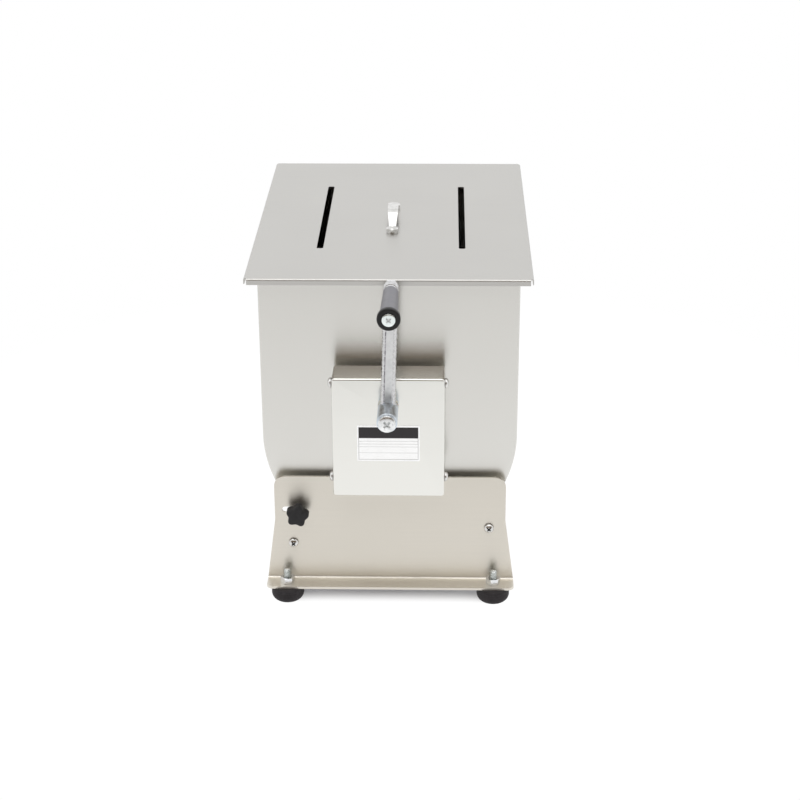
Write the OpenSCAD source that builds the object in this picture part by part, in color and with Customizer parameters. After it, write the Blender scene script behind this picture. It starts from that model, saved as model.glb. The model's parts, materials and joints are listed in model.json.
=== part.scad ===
// Hand-cranked meat mixer: a tilting U-shaped tank on a two-plate stand, with a loose lid,
// a paddle shaft inside the tank, a pair of reduction gears under a cover and a crank.
// X runs to the right, Y to the back and Z up. The crank is at the front, towards -Y.
// The origin lies on the floor, under the middle of the whole mixer.

/* [Tank] */
// Outer width of the tank
tank_w = 255; // [235:1:300]
// Outer length of the tank, from the front wall to the rear wall
tank_len = 361; // [300:1:450]
// Thickness of the tank's sheet
tank_sheet = 1.2; // [0.8:0.1:2]
// Height of the straight sides above the mixing axis
tank_side_h = 169.3; // [150:0.1:220]
// Width of the rim folded out around the mouth
tank_rim_w = 10; // [6:0.5:14]
// Free height between the tank's belly and the underside of the stand
tank_floor_room = 33; // [25:1:60]

/* [Lid] */
// Thickness of the lid's sheet
lid_sheet = 1; // [0.8:0.1:2]
// Play between the tank's rim and the lid's lips
lid_play = 1.5; // [0.5:0.1:4]
// Height of the folded lips, from the top of the lid
lid_lip_h = 6.2; // [5:0.1:15]
// Outer radius of the lid's folds
lid_fold_r = 2; // [2:0.1:3]
// Length cut out of each lip at the corners
lid_corner_notch = 3; // [3:0.1:6]
// Length of each slot in the lid
lid_slot_len = 206; // [120:1:240]
// Width of each slot in the lid
lid_slot_w = 6.7; // [5:0.1:12]
// Corner radius of the slots
lid_slot_r = 2.2; // [0.5:0.1:2.4]
// Distance between the two slots, middle to middle
lid_slot_gap = 143; // [60:1:190]

/* [Lid handle] */
// Distance between the handle's two screws
handle_span = 79; // [70:1:110]
// How far the handle's middle lies in front of the lid's middle
handle_forward = 12.5; // [0:0.5:40]
// Height of the handle above the lid
handle_h = 15.5; // [12:0.5:30]
// Length of the handle's flat top
handle_top_len = 25; // [15:1:35]
// Thickness of the handle's strap
handle_t = 1.6; // [1.5:0.1:4]
// Width of the strap in the middle
handle_mid_w = 11; // [10:0.5:20]
// Width of the strap where it leaves its feet
handle_foot_w = 6.5; // [6:0.5:10]
// Diameter of the strap's round feet
handle_foot_d = 10; // [9.5:0.5:13.5]
// Distance from a screw's axis to the bend where the strap rises
handle_heel = 7; // [7:0.1:10]
// Thread of the handle's screws
handle_screw_d = 6; // [5:0.5:7]
// Height of the handle's nuts
handle_nut_h = 3.2; // [2.5:0.1:6]
// Width of the handle's nuts across their flats
handle_nut_flats = 12; // [10:0.5:14]
// Height of the screw heads under the lid
handle_head_h = 2.5; // [1.5:0.1:5]
// Diameter of the screw heads under the lid
handle_head_d = 12; // [9:0.5:16]

/* [Stand] */
// Gap between each stand plate and the tank's end wall
stand_gap = 7.8; // [7:0.1:15]
// Thickness of the stand plates
stand_sheet = 2.5; // [2:0.1:4]
// How far the plates' upper sides lie inside the tank's sides
stand_inset = 10.25; // [5:0.25:20]
// How far the plates widen on each side towards the floor
stand_flare = 9.5; // [0:0.5:20]
// Height of the plates' shoulders above their underside
stand_h = 118.1; // [105:0.1:140]
// Height at which the plates start to widen, above their underside
stand_flare_h = 69.8; // [40:0.1:85]
// Corner radius of the plates' shoulders
stand_corner_r = 11; // [3:0.5:15]
// Depth of the foot flange in front of the plate
flange_depth = 20.4; // [20:0.1:40]
// Inner radius of the bend between plate and flange
flange_bend_r = 2.5; // [1.5:0.1:5]
// Corner radius of the foot flange
flange_corner_r = 7; // [2:0.5:10]
// How far the neck's sides lie inside the gear cover's sides
neck_inset = 4; // [3:0.1:8]
// Gap between the neck's top edge and the gear cover's inside
neck_top_room = 1; // [0.5:0.1:4]
// Radius of the rear neck's round top
rear_neck_r = 36; // [32:0.5:42]

/* [Feet] */
// Height of the rubber feet under the flange
foot_h = 16.2; // [10:0.1:25]
// Diameter of the rubber feet
foot_d = 34; // [25:0.5:36]
// Radius at the bottom edge of the rubber feet
foot_round_r = 8; // [2:0.5:9]
// Distance between the left and the right feet
foot_gap = 211; // [190:1:215]
// Distance from the plate's outer face to the foot's axis
foot_set = 9.4; // [9.3:0.1:12]
// Diameter of the foot studs
foot_stud_d = 8; // [6:0.5:8]
// How far the studs stand above their nuts
foot_stud_over = 9; // [3:0.5:15]
// Depth of the studs inside the rubber
foot_stud_in = 9; // [4:0.5:9]
// Height of the foot nuts
foot_nut_h = 6.5; // [4:0.5:8]
// Turn of the foot nuts about their studs
foot_nut_turn = 12; // [0:1:60]

/* [Tie rods] */
// Diameter of the tie rods
rod_d = 10; // [8:0.5:12]
// Free space between the left rod and the tank's belly
left_rod_room = 21.1; // [8:0.1:22]
// Angle of the left rod under the level of the mixing axis
left_rod_angle = 49.9; // [45:0.1:55]
// Free space between the right rod and the tank's belly
right_rod_room = 8.9; // [5:0.1:15]
// Angle of the right rod under the level of the mixing axis
right_rod_angle = 44.6; // [40:0.1:50]
// Thread of the pan head screws
pan_screw_d = 5; // [4:0.5:6]
// Length of the tie rods' screws under the head
rod_screw_len = 16; // [10:1:25]
// Diameter of the pan heads
pan_head_d = 10; // [8:0.5:12]
// Height of the pan heads
pan_head_h = 4; // [3:0.1:5]

/* [Lock knob] */
// Angle of the knob under the level of the mixing axis
knob_angle = 40.5; // [35:0.5:45]
// How far the knob's axis lies inside the edge of the tank's front wall
knob_inset = 4.8; // [4.5:0.1:15]
// Diameter over the knob's lobes
knob_d = 23.5; // [20:0.5:35]
// Number of lobes
knob_lobes = 5; // [4:1:7]
// Depth of the valleys between the lobes
knob_valley = 2.7; // [1:0.1:3]
// Thickness of the lobed head
knob_head_t = 11; // [8:0.5:16]
// Length of the round neck behind the head
knob_neck_len = 6.5; // [4:0.5:12]
// Diameter of that neck
knob_neck_d = 13; // [11:0.5:16]
// Thread of the lock stud
lock_stud_d = 6; // [5:0.5:7]
// Thickness of the lock nut
lock_nut_h = 5; // [3:0.5:5.5]
// Height of the slot in the front plate
knob_slot_w = 6.6; // [6.4:0.1:8]
// Reach of the slot to the left of the knob's axis
knob_slot_left = 16.5; // [8:0.5:20]
// Reach of the slot to the right of the knob's axis
knob_slot_right = 5; // [4:0.5:10]
// Turn of the knob's first lobe from level
knob_turn = 8; // [0:1:72]

/* [Gears] */
// Module of both gears
gear_module = 2; // [1.5:0.25:2.5]
// Teeth of the pinion on the crank shaft
pinion_teeth = 17; // [14:1:20]
// Teeth of the driven gear on the mixing shaft
gear_teeth = 34; // [28:1:38]
// Width of the driven gear
gear_face = 12; // [8:0.5:20]
// Gap between the front trunnion and the driven gear
gear_back_room = 2; // [1:0.5:5]
// How much wider the pinion is than the driven gear
pinion_extra = 2; // [0:0.5:4]
// Play between the teeth
gear_backlash = 0.3; // [0.1:0.05:0.5]
// Length of the pinion's hub
pinion_hub_len = 6; // [5:0.5:7]
// Diameter of the pinion's hub
pinion_hub_d = 24; // [22:0.5:26]
// Diameter of the pin through the pinion's hub
pinion_pin_d = 4; // [3:0.5:4]

/* [Gear cover] */
// Width of the gear cover
cover_w = 110; // [100:1:130]
// Thickness of the cover's sheet
cover_sheet = 1.2; // [0.8:0.1:2]
// Room between the pinion's tips and the cover's top
cover_room = 9.6; // [6:0.1:20]
// Room between the driven gear's tips and the cover's bottom
cover_low_room = 11.1; // [6:0.1:20]
// Room between the mixing shaft's end and the cover's front
cover_front_room = 1.6; // [1:0.1:10]
// Corner radius of the cover's front
cover_corner_r = 3; // [2:0.5:8]
// Distance of the side screws from the cover's front
cover_screw_set = 6; // [5.5:0.5:12]
// Distance of the upper side screws from the cover's top
cover_screw_top = 6.5; // [6:0.5:20]
// Distance of the lower side screws from the cover's bottom
cover_screw_bottom = 19.5; // [8:0.5:30]
// Length of the side screws under the head
cover_screw_len = 8; // [5:0.5:10]
// Gap between the brackets' lower edges and the cover's bottom
bracket_room = 1; // [0.5:0.5:5]
// Thickness of the cover brackets
bracket_t = 2; // [1.5:0.1:3]
// Width of the brackets' tabs on the neck
bracket_tab_w = 12; // [8:0.5:13]
// Width of the blank label
label_w = 61.5; // [40:0.5:80]
// Height of the blank label
label_h = 38.5; // [25:0.5:45]
// Distance from the label's top to the crank's axis
label_drop = 20.5; // [16:0.5:30]
// Thickness of the blank label
label_t = 0.2; // [0.1:0.05:0.5]

/* [Mixing shaft] */
// Diameter of the shaft inside the tank
shaft_body_d = 20; // [18:0.5:24]
// Diameter of the shaft in its bushes
shaft_d = 16; // [14:0.5:17]
// Diameter of the shaft in the driven gear
gear_seat_d = 14; // [12:0.5:14]
// Thread at the shaft's ends
shaft_thread_d = 10; // [8:0.5:11]
// Height of the shaft nuts
shaft_nut_h = 8; // [5:0.5:10]
// Thickness of the shaft washers
shaft_washer_t = 2; // [1:0.5:3]
// Diameter of the shaft washers
shaft_washer_d = 26; // [22:0.5:30]
// Length of thread past the nuts
shaft_thread_over = 1; // [0.5:0.5:3]
// Width of the gear's key
key_w = 5; // [3:0.5:5]
// Turn from one paddle to the next
paddle_turn = 90; // [60:5:120]
// Number of paddles
paddle_count = 4; // [2:1:5]
// Distance between paddles along the shaft
paddle_step = 80; // [60:1:85]
// Diameter of the paddle arms
paddle_arm_d = 10; // [8:0.5:14]
// Length of each blade
blade_len = 64; // [40:1:80]
// Width of each blade, from its arm to its tip
blade_w = 40; // [20:1:55]
// Thickness of the blades
blade_t = 3; // [2:0.5:5]
// Angle of the blades to the shaft
blade_pitch = 30; // [10:1:45]
// Room between the blades' tips and the tank
paddle_room = 7; // [4:0.5:15]

/* [Bearings] */
// Outer diameter of the trunnion tubes
trunnion_d = 30; // [28:0.5:32]
// Inner diameter of the trunnion tubes
trunnion_bore = 22; // [21:0.5:24]
// Diameter of the trunnions' flanges
trunnion_flange_d = 46; // [44:0.5:60]
// How far the trunnions reach past the plates
trunnion_over = 5.2; // [4:0.1:8]
// Wall of the trunnion bushes
trunnion_bush_wall = 3; // [2:0.5:4]
// Wall of the crank shaft's bushes
crank_bush_wall = 3; // [2:0.5:4]
// Thickness of the bushes' flanges
bush_flange_t = 2.5; // [1.5:0.1:3]
// How far the bushes' flanges stand out past their sleeves
bush_flange_w = 3; // [2:0.5:4]
// How far the bushes' sleeves reach past the sheet
bush_over = 2; // [1:0.5:3]
// Thickness of the seals
seal_t = 4; // [2:0.5:6]
// Outer diameter of the seals and of the flanges of the shaft bushes
seal_d = 28; // [26:0.5:32]

/* [Crank] */
// Diameter of the crank shaft
crank_shaft_d = 14; // [13:0.5:15]
// Diameter of the crank shaft's rear end and of its seat in the hub
crank_journal_d = 12; // [11:0.5:12]
// Distance from the crank's axis to the grip's axis
crank_radius = 124.5; // [100:0.5:160]
// Lean of the upright crank to the right
crank_lean = 1.75; // [0:0.25:30]
// Gap between the gear cover and the crank
crank_gap = 6.2; // [4:0.1:15]
// Diameter of the crank's hub
hub_d = 20; // [18:0.5:26]
// Length of the crank's hub
hub_len = 34; // [27:0.5:35]
// Depth of the shaft's seat in the hub
hub_seat = 22; // [12:0.5:23]
// Thread of the hub screw
hub_screw_d = 6; // [5:0.5:6]
// Length of the hub screw under the head
hub_screw_len = 20; // [15:0.5:25]
// Diameter of the hub screw's head
hub_head_d = 17; // [12:0.5:18]
// Height of the hub screw's head
hub_head_h = 4; // [3:0.5:6]
// Thickness of the circlip at the crank shaft's rear end
circlip_t = 1; // [0.8:0.1:1.5]
// Depth of the circlip's groove
circlip_groove = 1; // [0.5:0.1:1.5]
// How far the circlip stands out of its groove
circlip_w = 2.5; // [1.5:0.1:3]
// Length of shaft behind the circlip
circlip_over = 1; // [0.5:0.1:1.5]
// Width of the arm at the hub
arm_hub_w = 14.7; // [13:0.1:18]
// Width of the arm at the grip
arm_tip_w = 14.2; // [12:0.1:16]
// Thickness of the arm
arm_t = 8; // [5:0.5:12]
// Size of the bevels along the arm
arm_bevel = 2.8; // [0.5:0.1:3]
// Diameter of the arm's round end
arm_eye_d = 15; // [13.5:0.5:18]

/* [Grip] */
// Length of the grip
grip_len = 70; // [50:0.1:120]
// Diameter of the grip next to the arm
grip_back_d = 14.4; // [12:0.1:18]
// Diameter of the grip next to its collar
grip_front_d = 17.6; // [14:0.1:19]
// Diameter of the collar
grip_collar_d = 21.8; // [20:0.1:26]
// Length of the collar
grip_collar_len = 6; // [5:0.5:14]
// Size of the grip's bevelled edges
grip_edge = 1; // [0.5:0.1:1.5]
// Thread of the grip bolt
grip_bolt_d = 8; // [6:0.5:8]
// Diameter of the grip bolt's head
grip_head_d = 12.4; // [11:0.1:13]
// Height of the grip bolt's head
grip_head_h = 5; // [3:0.5:8]
// How far the bolt's head stands out of the collar
grip_head_out = 1.5; // [0.5:0.1:2.5]
// Height of the grip nut
grip_nut_h = 5; // [3:0.5:5.5]
// Thickness of the spacer between the arm and the grip
grip_spacer_t = 3.7; // [1:0.1:6]
// Diameter of that spacer
grip_spacer_d = 13; // [12:0.5:16]

/* [Fits] */
// Gap all round between a shaft and the bush it turns in
run_gap = 0.05; // [0.02:0.01:0.1]
// Gap all round between pieces fixed in each other
fit_gap = 0.05; // [0.02:0.01:0.2]
// Gap between flat faces that slide past each other
slide_gap = 0.3; // [0.2:0.05:0.5]
// Gap all round a screw in a plain hole
screw_gap = 0.2; // [0.1:0.05:0.4]
// Spare length past the end of a screw or a shaft in its hole
end_gap = 1; // [0.5:0.1:2]

/* [Hidden] */
$fn = 72;
// Extra length of a cutting tool past the faces that it opens
cut = 1;

// Height of the mixing axis, which is also the axis the tank tilts about
tank_r = tank_w / 2;
axis_z = foot_h + tank_floor_room + tank_r;
lid_top = tank_side_h + lid_sheet;

// Distances from the tank's middle plane to the faces of each end, the same at the front and the rear
wall_out = tank_len / 2;
wall_in = wall_out - tank_sheet;
plate_in = wall_out + stand_gap;
plate_out = plate_in + stand_sheet;
trunnion_end = plate_out + trunnion_over;
trunnion_flange_end = plate_in - bush_flange_t - slide_gap;
seal_in = wall_in - bush_flange_t - seal_t;
shaft_shoulder = seal_in - slide_gap;
foot_y = plate_out + foot_set;
flange_end = plate_out + flange_depth;

// Stack of the gears in front of the front plate
gear_back = trunnion_end + gear_back_room;
gear_front = gear_back + gear_face;
shaft_front = gear_front + shaft_washer_t + shaft_nut_h + shaft_thread_over;
pinion_back = gear_back - pinion_extra / 2;
pinion_front = gear_front + pinion_extra / 2;
cover_front = shaft_front + cover_front_room + cover_sheet;
cover_in = cover_front - cover_sheet;

// Stack of the rear end of the mixing shaft
rear_seat = trunnion_end + slide_gap;
shaft_rear = rear_seat + shaft_washer_t + shaft_nut_h + shaft_thread_over;

// Gear sizes and the crank's place above the mixing axis
pressure_angle = 20;
gear_centres = gear_module * (pinion_teeth + gear_teeth) / 2;
gear_tip_r = gear_module * (gear_teeth + 2) / 2;
pinion_tip_r = gear_module * (pinion_teeth + 2) / 2;
cover_top = gear_centres + pinion_tip_r + cover_room;
cover_bottom = -gear_tip_r - cover_low_room;
neck_top = cover_top - cover_sheet - neck_top_room;
neck_half = cover_w / 2 - neck_inset;
label_top = gear_centres - label_drop;

// Stack of the crank in front of the cover
hub_back = cover_front + crank_gap;
hub_front = hub_back + hub_len;
arm_front = hub_back + arm_t;
grip_back = arm_front + grip_spacer_t + slide_gap;
grip_front = grip_back + grip_len;
grip_head_front = grip_front + grip_head_out;
grip_head_seat = grip_head_front - grip_head_h;
crank_bush_out = plate_out + bush_flange_t;
crank_bush_in = plate_in - bush_over;
circlip_front = crank_bush_in - slide_gap;
crank_rear = circlip_front - circlip_t - circlip_over;
groove_d = crank_journal_d - 2 * circlip_groove;

// Places of the rods and of the knob, from the mixing axis
left_rod_r = tank_r + left_rod_room + rod_d / 2;
right_rod_r = tank_r + right_rod_room + rod_d / 2;
rod_places = [
    [-left_rod_r * cos(left_rod_angle), -left_rod_r * sin(left_rod_angle)],
    [right_rod_r * cos(right_rod_angle), -right_rod_r * sin(right_rod_angle)]
];
knob_r = tank_r - knob_inset;
knob_x = -knob_r * cos(knob_angle);
knob_z = -knob_r * sin(knob_angle);
knob_back = plate_out + slide_gap;
knob_head_back = knob_back + knob_neck_len;
knob_front = knob_head_back + knob_head_t;

// Half the lid's width and length
lid_half_w = tank_r + tank_rim_w + lid_play + lid_sheet;
lid_half_len = wall_out + tank_rim_w + lid_play + lid_sheet;

// Farthest reach of the blades' flat tips, so that their corners keep the room to the tank
blade_half_span = blade_len / 2 * sin(blade_pitch) + blade_t / 2;
blade_sweep_r = tank_r - tank_sheet - paddle_room;
blade_tip = sqrt(blade_sweep_r * blade_sweep_r - blade_half_span * blade_half_span);
blade_foot = blade_tip - blade_w;

// The tank's middle plane is set so that the whole mixer is centred on the origin
rear_reach = max(foot_y + foot_d / 2, flange_end, shaft_rear);
tank_mid_y = (grip_head_front - rear_reach) / 2;

// Width across the flats of the nut that fits a thread
function nut_flats(thread) = 1.5 * thread + 1;

// Puts a piece drawn about the mixing axis and the tank's middle plane into the mixer's frame
module at_axis() {
    translate([0, tank_mid_y, axis_z]) children();
}

// The same, about the crank's axis
module at_crank() {
    translate([0, 0, gear_centres]) at_axis() children();
}

// The same, about the crank's axis, leaning with the crank's arm
module at_arm() {
    at_crank() rotate([0, crank_lean, 0]) children();
}

// The same, about the grip's axis
module at_grip() {
    at_arm() translate([0, 0, crank_radius]) children();
}

// Turns a piece drawn for the rear end round to the front end, or leaves it at the rear
module at_end(front) {
    mirror([0, front ? 1 : 0, 0]) children();
}

// Round bar along Y
module bar_y(d, from, to) {
    translate([0, from, 0]) rotate([-90, 0, 0]) cylinder(d = d, h = to - from);
}

// Ring along Y
module ring_y(d, bore, from, to) {
    difference() {
        bar_y(d, from, to);
        bar_y(bore, from - cut, to + cut);
    }
}

// Turns a flat outline, drawn with X to the right and Y up, into a sheet standing between two places along Y
module sheet_y(from, to) {
    translate([0, to, 0]) rotate([90, 0, 0]) linear_extrude(height = to - from) children();
}

// Hexagon nut standing on its lower face, with its corners turned down
module hex_nut(flats, h, bore) {
    corners = flats / cos(30);
    turned = 0.14 * h;
    difference() {
        intersection() {
            cylinder(d = corners, h = h, $fn = 6);
            rotate_extrude()
                polygon([
                    [0, 0], [flats / 2, 0], [corners / 2, turned],
                    [corners / 2, h - turned], [flats / 2, h], [0, h]
                ]);
        }
        translate([0, 0, -cut]) cylinder(d = bore, h = h + 2 * cut);
    }
}

// Screw with a domed head above its seat, a cross recess and a plain shank below
module pan_screw(d, len, head_d, head_h) {
    dome_r = head_d * 0.75;
    recess_len = head_d * 0.5;
    recess_w = head_d * 0.13;
    recess_floor = head_h * 0.45;
    difference() {
        union() {
            intersection() {
                cylinder(d = head_d, h = head_h);
                translate([0, 0, head_h - dome_r]) sphere(r = dome_r);
            }
            translate([0, 0, -len]) cylinder(d = d, h = len + head_h / 2);
        }
        for (turn = [0, 90])
            rotate([0, 0, turn])
                translate([-recess_len / 2, -recess_w / 2, recess_floor])
                    cube([recess_len, recess_w, head_h]);
    }
}

// Flat outline of a box with round corners, from its lower left corner
module round_box(w, h, r) {
    union() {
        translate([r, 0]) square([w - 2 * r, h]);
        translate([0, r]) square([w, h - 2 * r]);
        for (x = [r, w - r], y = [r, h - r])
            translate([x, y]) circle(r = r);
    }
}

// Angle between the radius at a point of an involute and the radius at its start, in degrees
function involute(base_r, r) =
    let (roll = sqrt(max(0, (r / base_r) * (r / base_r) - 1)))
    roll * 180 / PI - atan(roll);

// Half the angle that a tooth takes up at a radius
function tooth_half(teeth, base_r, pitch_r, r) =
    90 / teeth - gear_backlash / 2 / pitch_r * 180 / PI
    + involute(base_r, pitch_r) - involute(base_r, max(r, base_r));

// Outline of a spur gear with a tooth pointing along +X, turned by a start angle
module gear_outline(teeth, start) {
    flank_steps = 3;
    pitch_r = gear_module * teeth / 2;
    base_r = pitch_r * cos(pressure_angle);
    root_r = pitch_r - 1.25 * gear_module;
    tip_r = pitch_r + gear_module;
    flank_r = max(root_r, base_r);
    radii = concat([root_r], [for (k = [0:flank_steps]) flank_r + (tip_r - flank_r) * k / flank_steps]);
    last = len(radii) - 1;
    polygon([
        for (tooth = [0:teeth - 1])
            for (side = [-1, 1])
                for (k = [0:last])
                    let (r = radii[side < 0 ? k : last - k])
                    let (angle = start + tooth * 360 / teeth + side * tooth_half(teeth, base_r, pitch_r, r))
                    [r * cos(angle), r * sin(angle)]
    ]);
}

// Outline of a stand plate below its neck, standing on its underside
module plate_outline() {
    half = tank_r - stand_inset;
    foot_half = half + stand_flare;
    corner = stand_corner_r;
    union() {
        polygon([
            [-foot_half, 0], [foot_half, 0], [half, stand_flare_h], [half, stand_h - corner],
            [half - corner, stand_h], [corner - half, stand_h],
            [-half, stand_h - corner], [-half, stand_flare_h]
        ]);
        for (side = [-1, 1])
            translate([side * (half - corner), stand_h - corner]) circle(r = corner);
    }
}

// Side view of a plate and its flange: Y to the outside, standing on the flange's underside
module plate_profile(height) {
    outer_r = flange_bend_r + stand_sheet;
    translate([0, outer_r]) square([stand_sheet, height - outer_r]);
    translate([outer_r, 0]) square([flange_depth + stand_sheet - outer_r, stand_sheet]);
    intersection() {
        square(outer_r);
        translate([outer_r, outer_r])
            difference() {
                circle(r = outer_r);
                circle(r = flange_bend_r);
            }
    }
}

// Plate with its flange at the rear end, with the holes for rods and feet and a neck drawn about the axis
module stand_plate(places) {
    height = axis_z - foot_h + neck_top;
    half = tank_r - stand_inset + stand_flare;
    difference() {
        intersection() {
            translate([-half, plate_in, foot_h - axis_z])
                rotate([90, 0, 90]) linear_extrude(height = 2 * half) plate_profile(height);
            union() {
                sheet_y(plate_in - cut, flange_end + cut)
                    translate([0, foot_h - axis_z]) plate_outline();
                sheet_y(plate_in - cut, plate_out + cut) children();
            }
            translate([-half, plate_in - cut, -axis_z])
                linear_extrude(height = 2 * axis_z)
                    translate([0, -flange_corner_r])
                        round_box(2 * half, flange_end - plate_in + cut + flange_corner_r, flange_corner_r);
        }
        bar_y(trunnion_d + 2 * (run_gap + trunnion_bush_wall + fit_gap), plate_in - cut, plate_out + cut);
        for (place = places)
            translate([place[0], 0, place[1]])
                bar_y(pan_screw_d + 2 * screw_gap, plate_in - cut, plate_out + cut);
        for (side = [-1, 1])
            translate([side * foot_gap / 2, foot_y, foot_h - axis_z - cut])
                cylinder(d = foot_stud_d + 2 * screw_gap, h = stand_sheet + 2 * cut);
    }
}

// Outline of the slot that the lock stud passes through, about the knob's axis
module knob_slot() {
    r = knob_slot_w / 2;
    union() {
        for (x = [r - knob_slot_left, knob_slot_right - r])
            translate([x, 0]) circle(r = r);
        translate([r - knob_slot_left, -r]) square([knob_slot_left + knob_slot_right - 2 * r, 2 * r]);
    }
}

module front_stand_plate() {
    color("gainsboro")
        at_axis()
            difference() {
                at_end(true)
                    stand_plate(rod_places)
                        translate([-neck_half, foot_h - axis_z + stand_h / 2])
                            square([2 * neck_half, neck_top + axis_z - foot_h - stand_h / 2]);
                translate([0, 0, gear_centres])
                    bar_y(
                        crank_journal_d + 2 * (run_gap + crank_bush_wall + fit_gap),
                        -plate_out - cut, -plate_in + cut
                    );
                sheet_y(-plate_out - cut, -plate_in + cut)
                    translate([knob_x, knob_z]) knob_slot();
            }
}

module rear_stand_plate() {
    color("gainsboro")
        at_axis()
            stand_plate(rod_places)
                union() {
                    circle(r = rear_neck_r);
                    translate([-rear_neck_r, foot_h - axis_z + stand_h / 2])
                        square([2 * rear_neck_r, axis_z - foot_h - stand_h / 2]);
                }
}

// Rod between the plates, tapped at both ends for its screws
module tie_rod(place) {
    tap_start = plate_out - rod_screw_len - end_gap;
    color("silver")
        at_axis()
            translate([place[0], 0, place[1]])
                difference() {
                    bar_y(rod_d, -plate_in, plate_in);
                    for (front = [true, false])
                        at_end(front)
                            bar_y(pan_screw_d + 2 * fit_gap, tap_start, plate_in + cut);
                }
}

module left_tie_rod() {
    tie_rod(rod_places[0]);
}

module right_tie_rod() {
    tie_rod(rod_places[1]);
}

module tie_rod_screws() {
    color("silver")
        at_axis()
            for (place = rod_places, front = [true, false])
                translate([place[0], 0, place[1]])
                    at_end(front)
                        translate([0, plate_out, 0])
                            rotate([-90, 0, 0]) pan_screw(pan_screw_d, rod_screw_len, pan_head_d, pan_head_h);
}

// Repeats a piece at the four feet, standing on the floor
module at_feet() {
    for (x = [-foot_gap / 2, foot_gap / 2], y = [-foot_y, foot_y])
        translate([x, tank_mid_y + y, 0]) children();
}

module rubber_feet() {
    r = foot_d / 2;
    color("dimgray")
        at_feet()
            difference() {
                rotate_extrude()
                    union() {
                        square([r - foot_round_r, foot_h]);
                        translate([0, foot_round_r]) square([r, foot_h - foot_round_r]);
                        translate([r - foot_round_r, foot_round_r])
                            intersection() {
                                circle(r = foot_round_r);
                                translate([0, -foot_round_r]) square(foot_round_r);
                            }
                    }
                translate([0, 0, foot_h - foot_stud_in])
                    cylinder(d = foot_stud_d + 2 * fit_gap, h = foot_stud_in + cut);
            }
}

module foot_studs() {
    chamfer = foot_stud_d / 8;
    len = foot_stud_in + stand_sheet + foot_nut_h + foot_stud_over;
    color("silver")
        at_feet()
            translate([0, 0, foot_h - foot_stud_in])
                rotate_extrude()
                    polygon([
                        [0, 0], [foot_stud_d / 2, 0], [foot_stud_d / 2, len - chamfer],
                        [foot_stud_d / 2 - chamfer, len], [0, len]
                    ]);
}

module foot_nuts() {
    color("silver")
        at_feet()
            translate([0, 0, foot_h + stand_sheet])
                rotate([0, 0, foot_nut_turn])
                    hex_nut(nut_flats(foot_stud_d), foot_nut_h, foot_stud_d + 2 * fit_gap);
}

// Repeats a piece at the side screws, drawn with the cover's side at Z = 0 and the screw's head up
module at_cover_screws(sides) {
    for (side = sides, z = [cover_top - cover_screw_top, cover_bottom + cover_screw_bottom])
        translate([side * cover_w / 2, cover_screw_set - cover_front, z])
            rotate([0, side * 90, 0]) children();
}

// Angle bracket on the neck that the cover's side screws bite into
module cover_bracket(side) {
    inside = cover_w / 2 - cover_sheet;
    low = cover_bottom + cover_sheet + bracket_room;
    height = neck_top - low;
    color("silver")
        at_axis()
            difference() {
                union() {
                    translate([side > 0 ? inside - bracket_t : -inside, -cover_in, low])
                        cube([bracket_t, cover_in - plate_out, height]);
                    translate([side > 0 ? inside - bracket_tab_w : -inside, -plate_out - bracket_t, low])
                        cube([bracket_tab_w, bracket_t, height]);
                }
                at_cover_screws([side])
                    translate([0, 0, -cover_screw_len - cut])
                        cylinder(d = pan_screw_d + 2 * fit_gap, h = cover_screw_len + 2 * cut);
            }
}

module left_cover_bracket() {
    cover_bracket(-1);
}

module right_cover_bracket() {
    cover_bracket(1);
}

module gear_cover() {
    height = cover_top - cover_bottom;
    color("whitesmoke")
        at_axis()
            difference() {
                sheet_y(-cover_front, -plate_out)
                    translate([-cover_w / 2, cover_bottom]) round_box(cover_w, height, cover_corner_r);
                sheet_y(-cover_in, -plate_out + cut)
                    translate([cover_sheet - cover_w / 2, cover_bottom + cover_sheet])
                        round_box(
                            cover_w - 2 * cover_sheet, height - 2 * cover_sheet, cover_corner_r - cover_sheet
                        );
                translate([0, 0, gear_centres])
                    bar_y(
                        crank_shaft_d + 2 * (run_gap + crank_bush_wall + fit_gap),
                        -cover_front - cut, -cover_in + cut
                    );
                at_cover_screws([-1, 1])
                    translate([0, 0, -cover_sheet - cut])
                        cylinder(d = pan_screw_d + 2 * screw_gap, h = cover_sheet + 2 * cut);
            }
}

module gear_cover_screws() {
    color("silver")
        at_axis()
            at_cover_screws([-1, 1])
                pan_screw(pan_screw_d, cover_screw_len, pan_head_d, pan_head_h);
}

module blank_label() {
    color("white")
        at_axis()
            translate([-label_w / 2, -cover_front - label_t, label_top - label_h])
                cube([label_w, label_t, label_h]);
}

// Flanged bush at the rear end, with its flange against the inner face of a plate
module trunnion_bush(front) {
    bore = trunnion_d + 2 * run_gap;
    sleeve_d = bore + 2 * trunnion_bush_wall;
    color("ivory")
        at_axis()
            at_end(front)
                difference() {
                    union() {
                        bar_y(sleeve_d + 2 * bush_flange_w, plate_in - bush_flange_t, plate_in);
                        bar_y(sleeve_d, plate_in - bush_flange_t, plate_out + bush_over);
                    }
                    bar_y(bore, plate_in - bush_flange_t - cut, plate_out + bush_over + cut);
                }
}

module front_trunnion_bush() {
    trunnion_bush(true);
}

module rear_trunnion_bush() {
    trunnion_bush(false);
}

module crank_rear_bush() {
    bore = crank_journal_d + 2 * run_gap;
    sleeve_d = bore + 2 * crank_bush_wall;
    color("ivory")
        at_crank()
            difference() {
                union() {
                    bar_y(sleeve_d + 2 * bush_flange_w, -crank_bush_out, -plate_out);
                    bar_y(sleeve_d, -crank_bush_out, -crank_bush_in);
                }
                bar_y(bore, -crank_bush_out - cut, -crank_bush_in + cut);
            }
}

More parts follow.
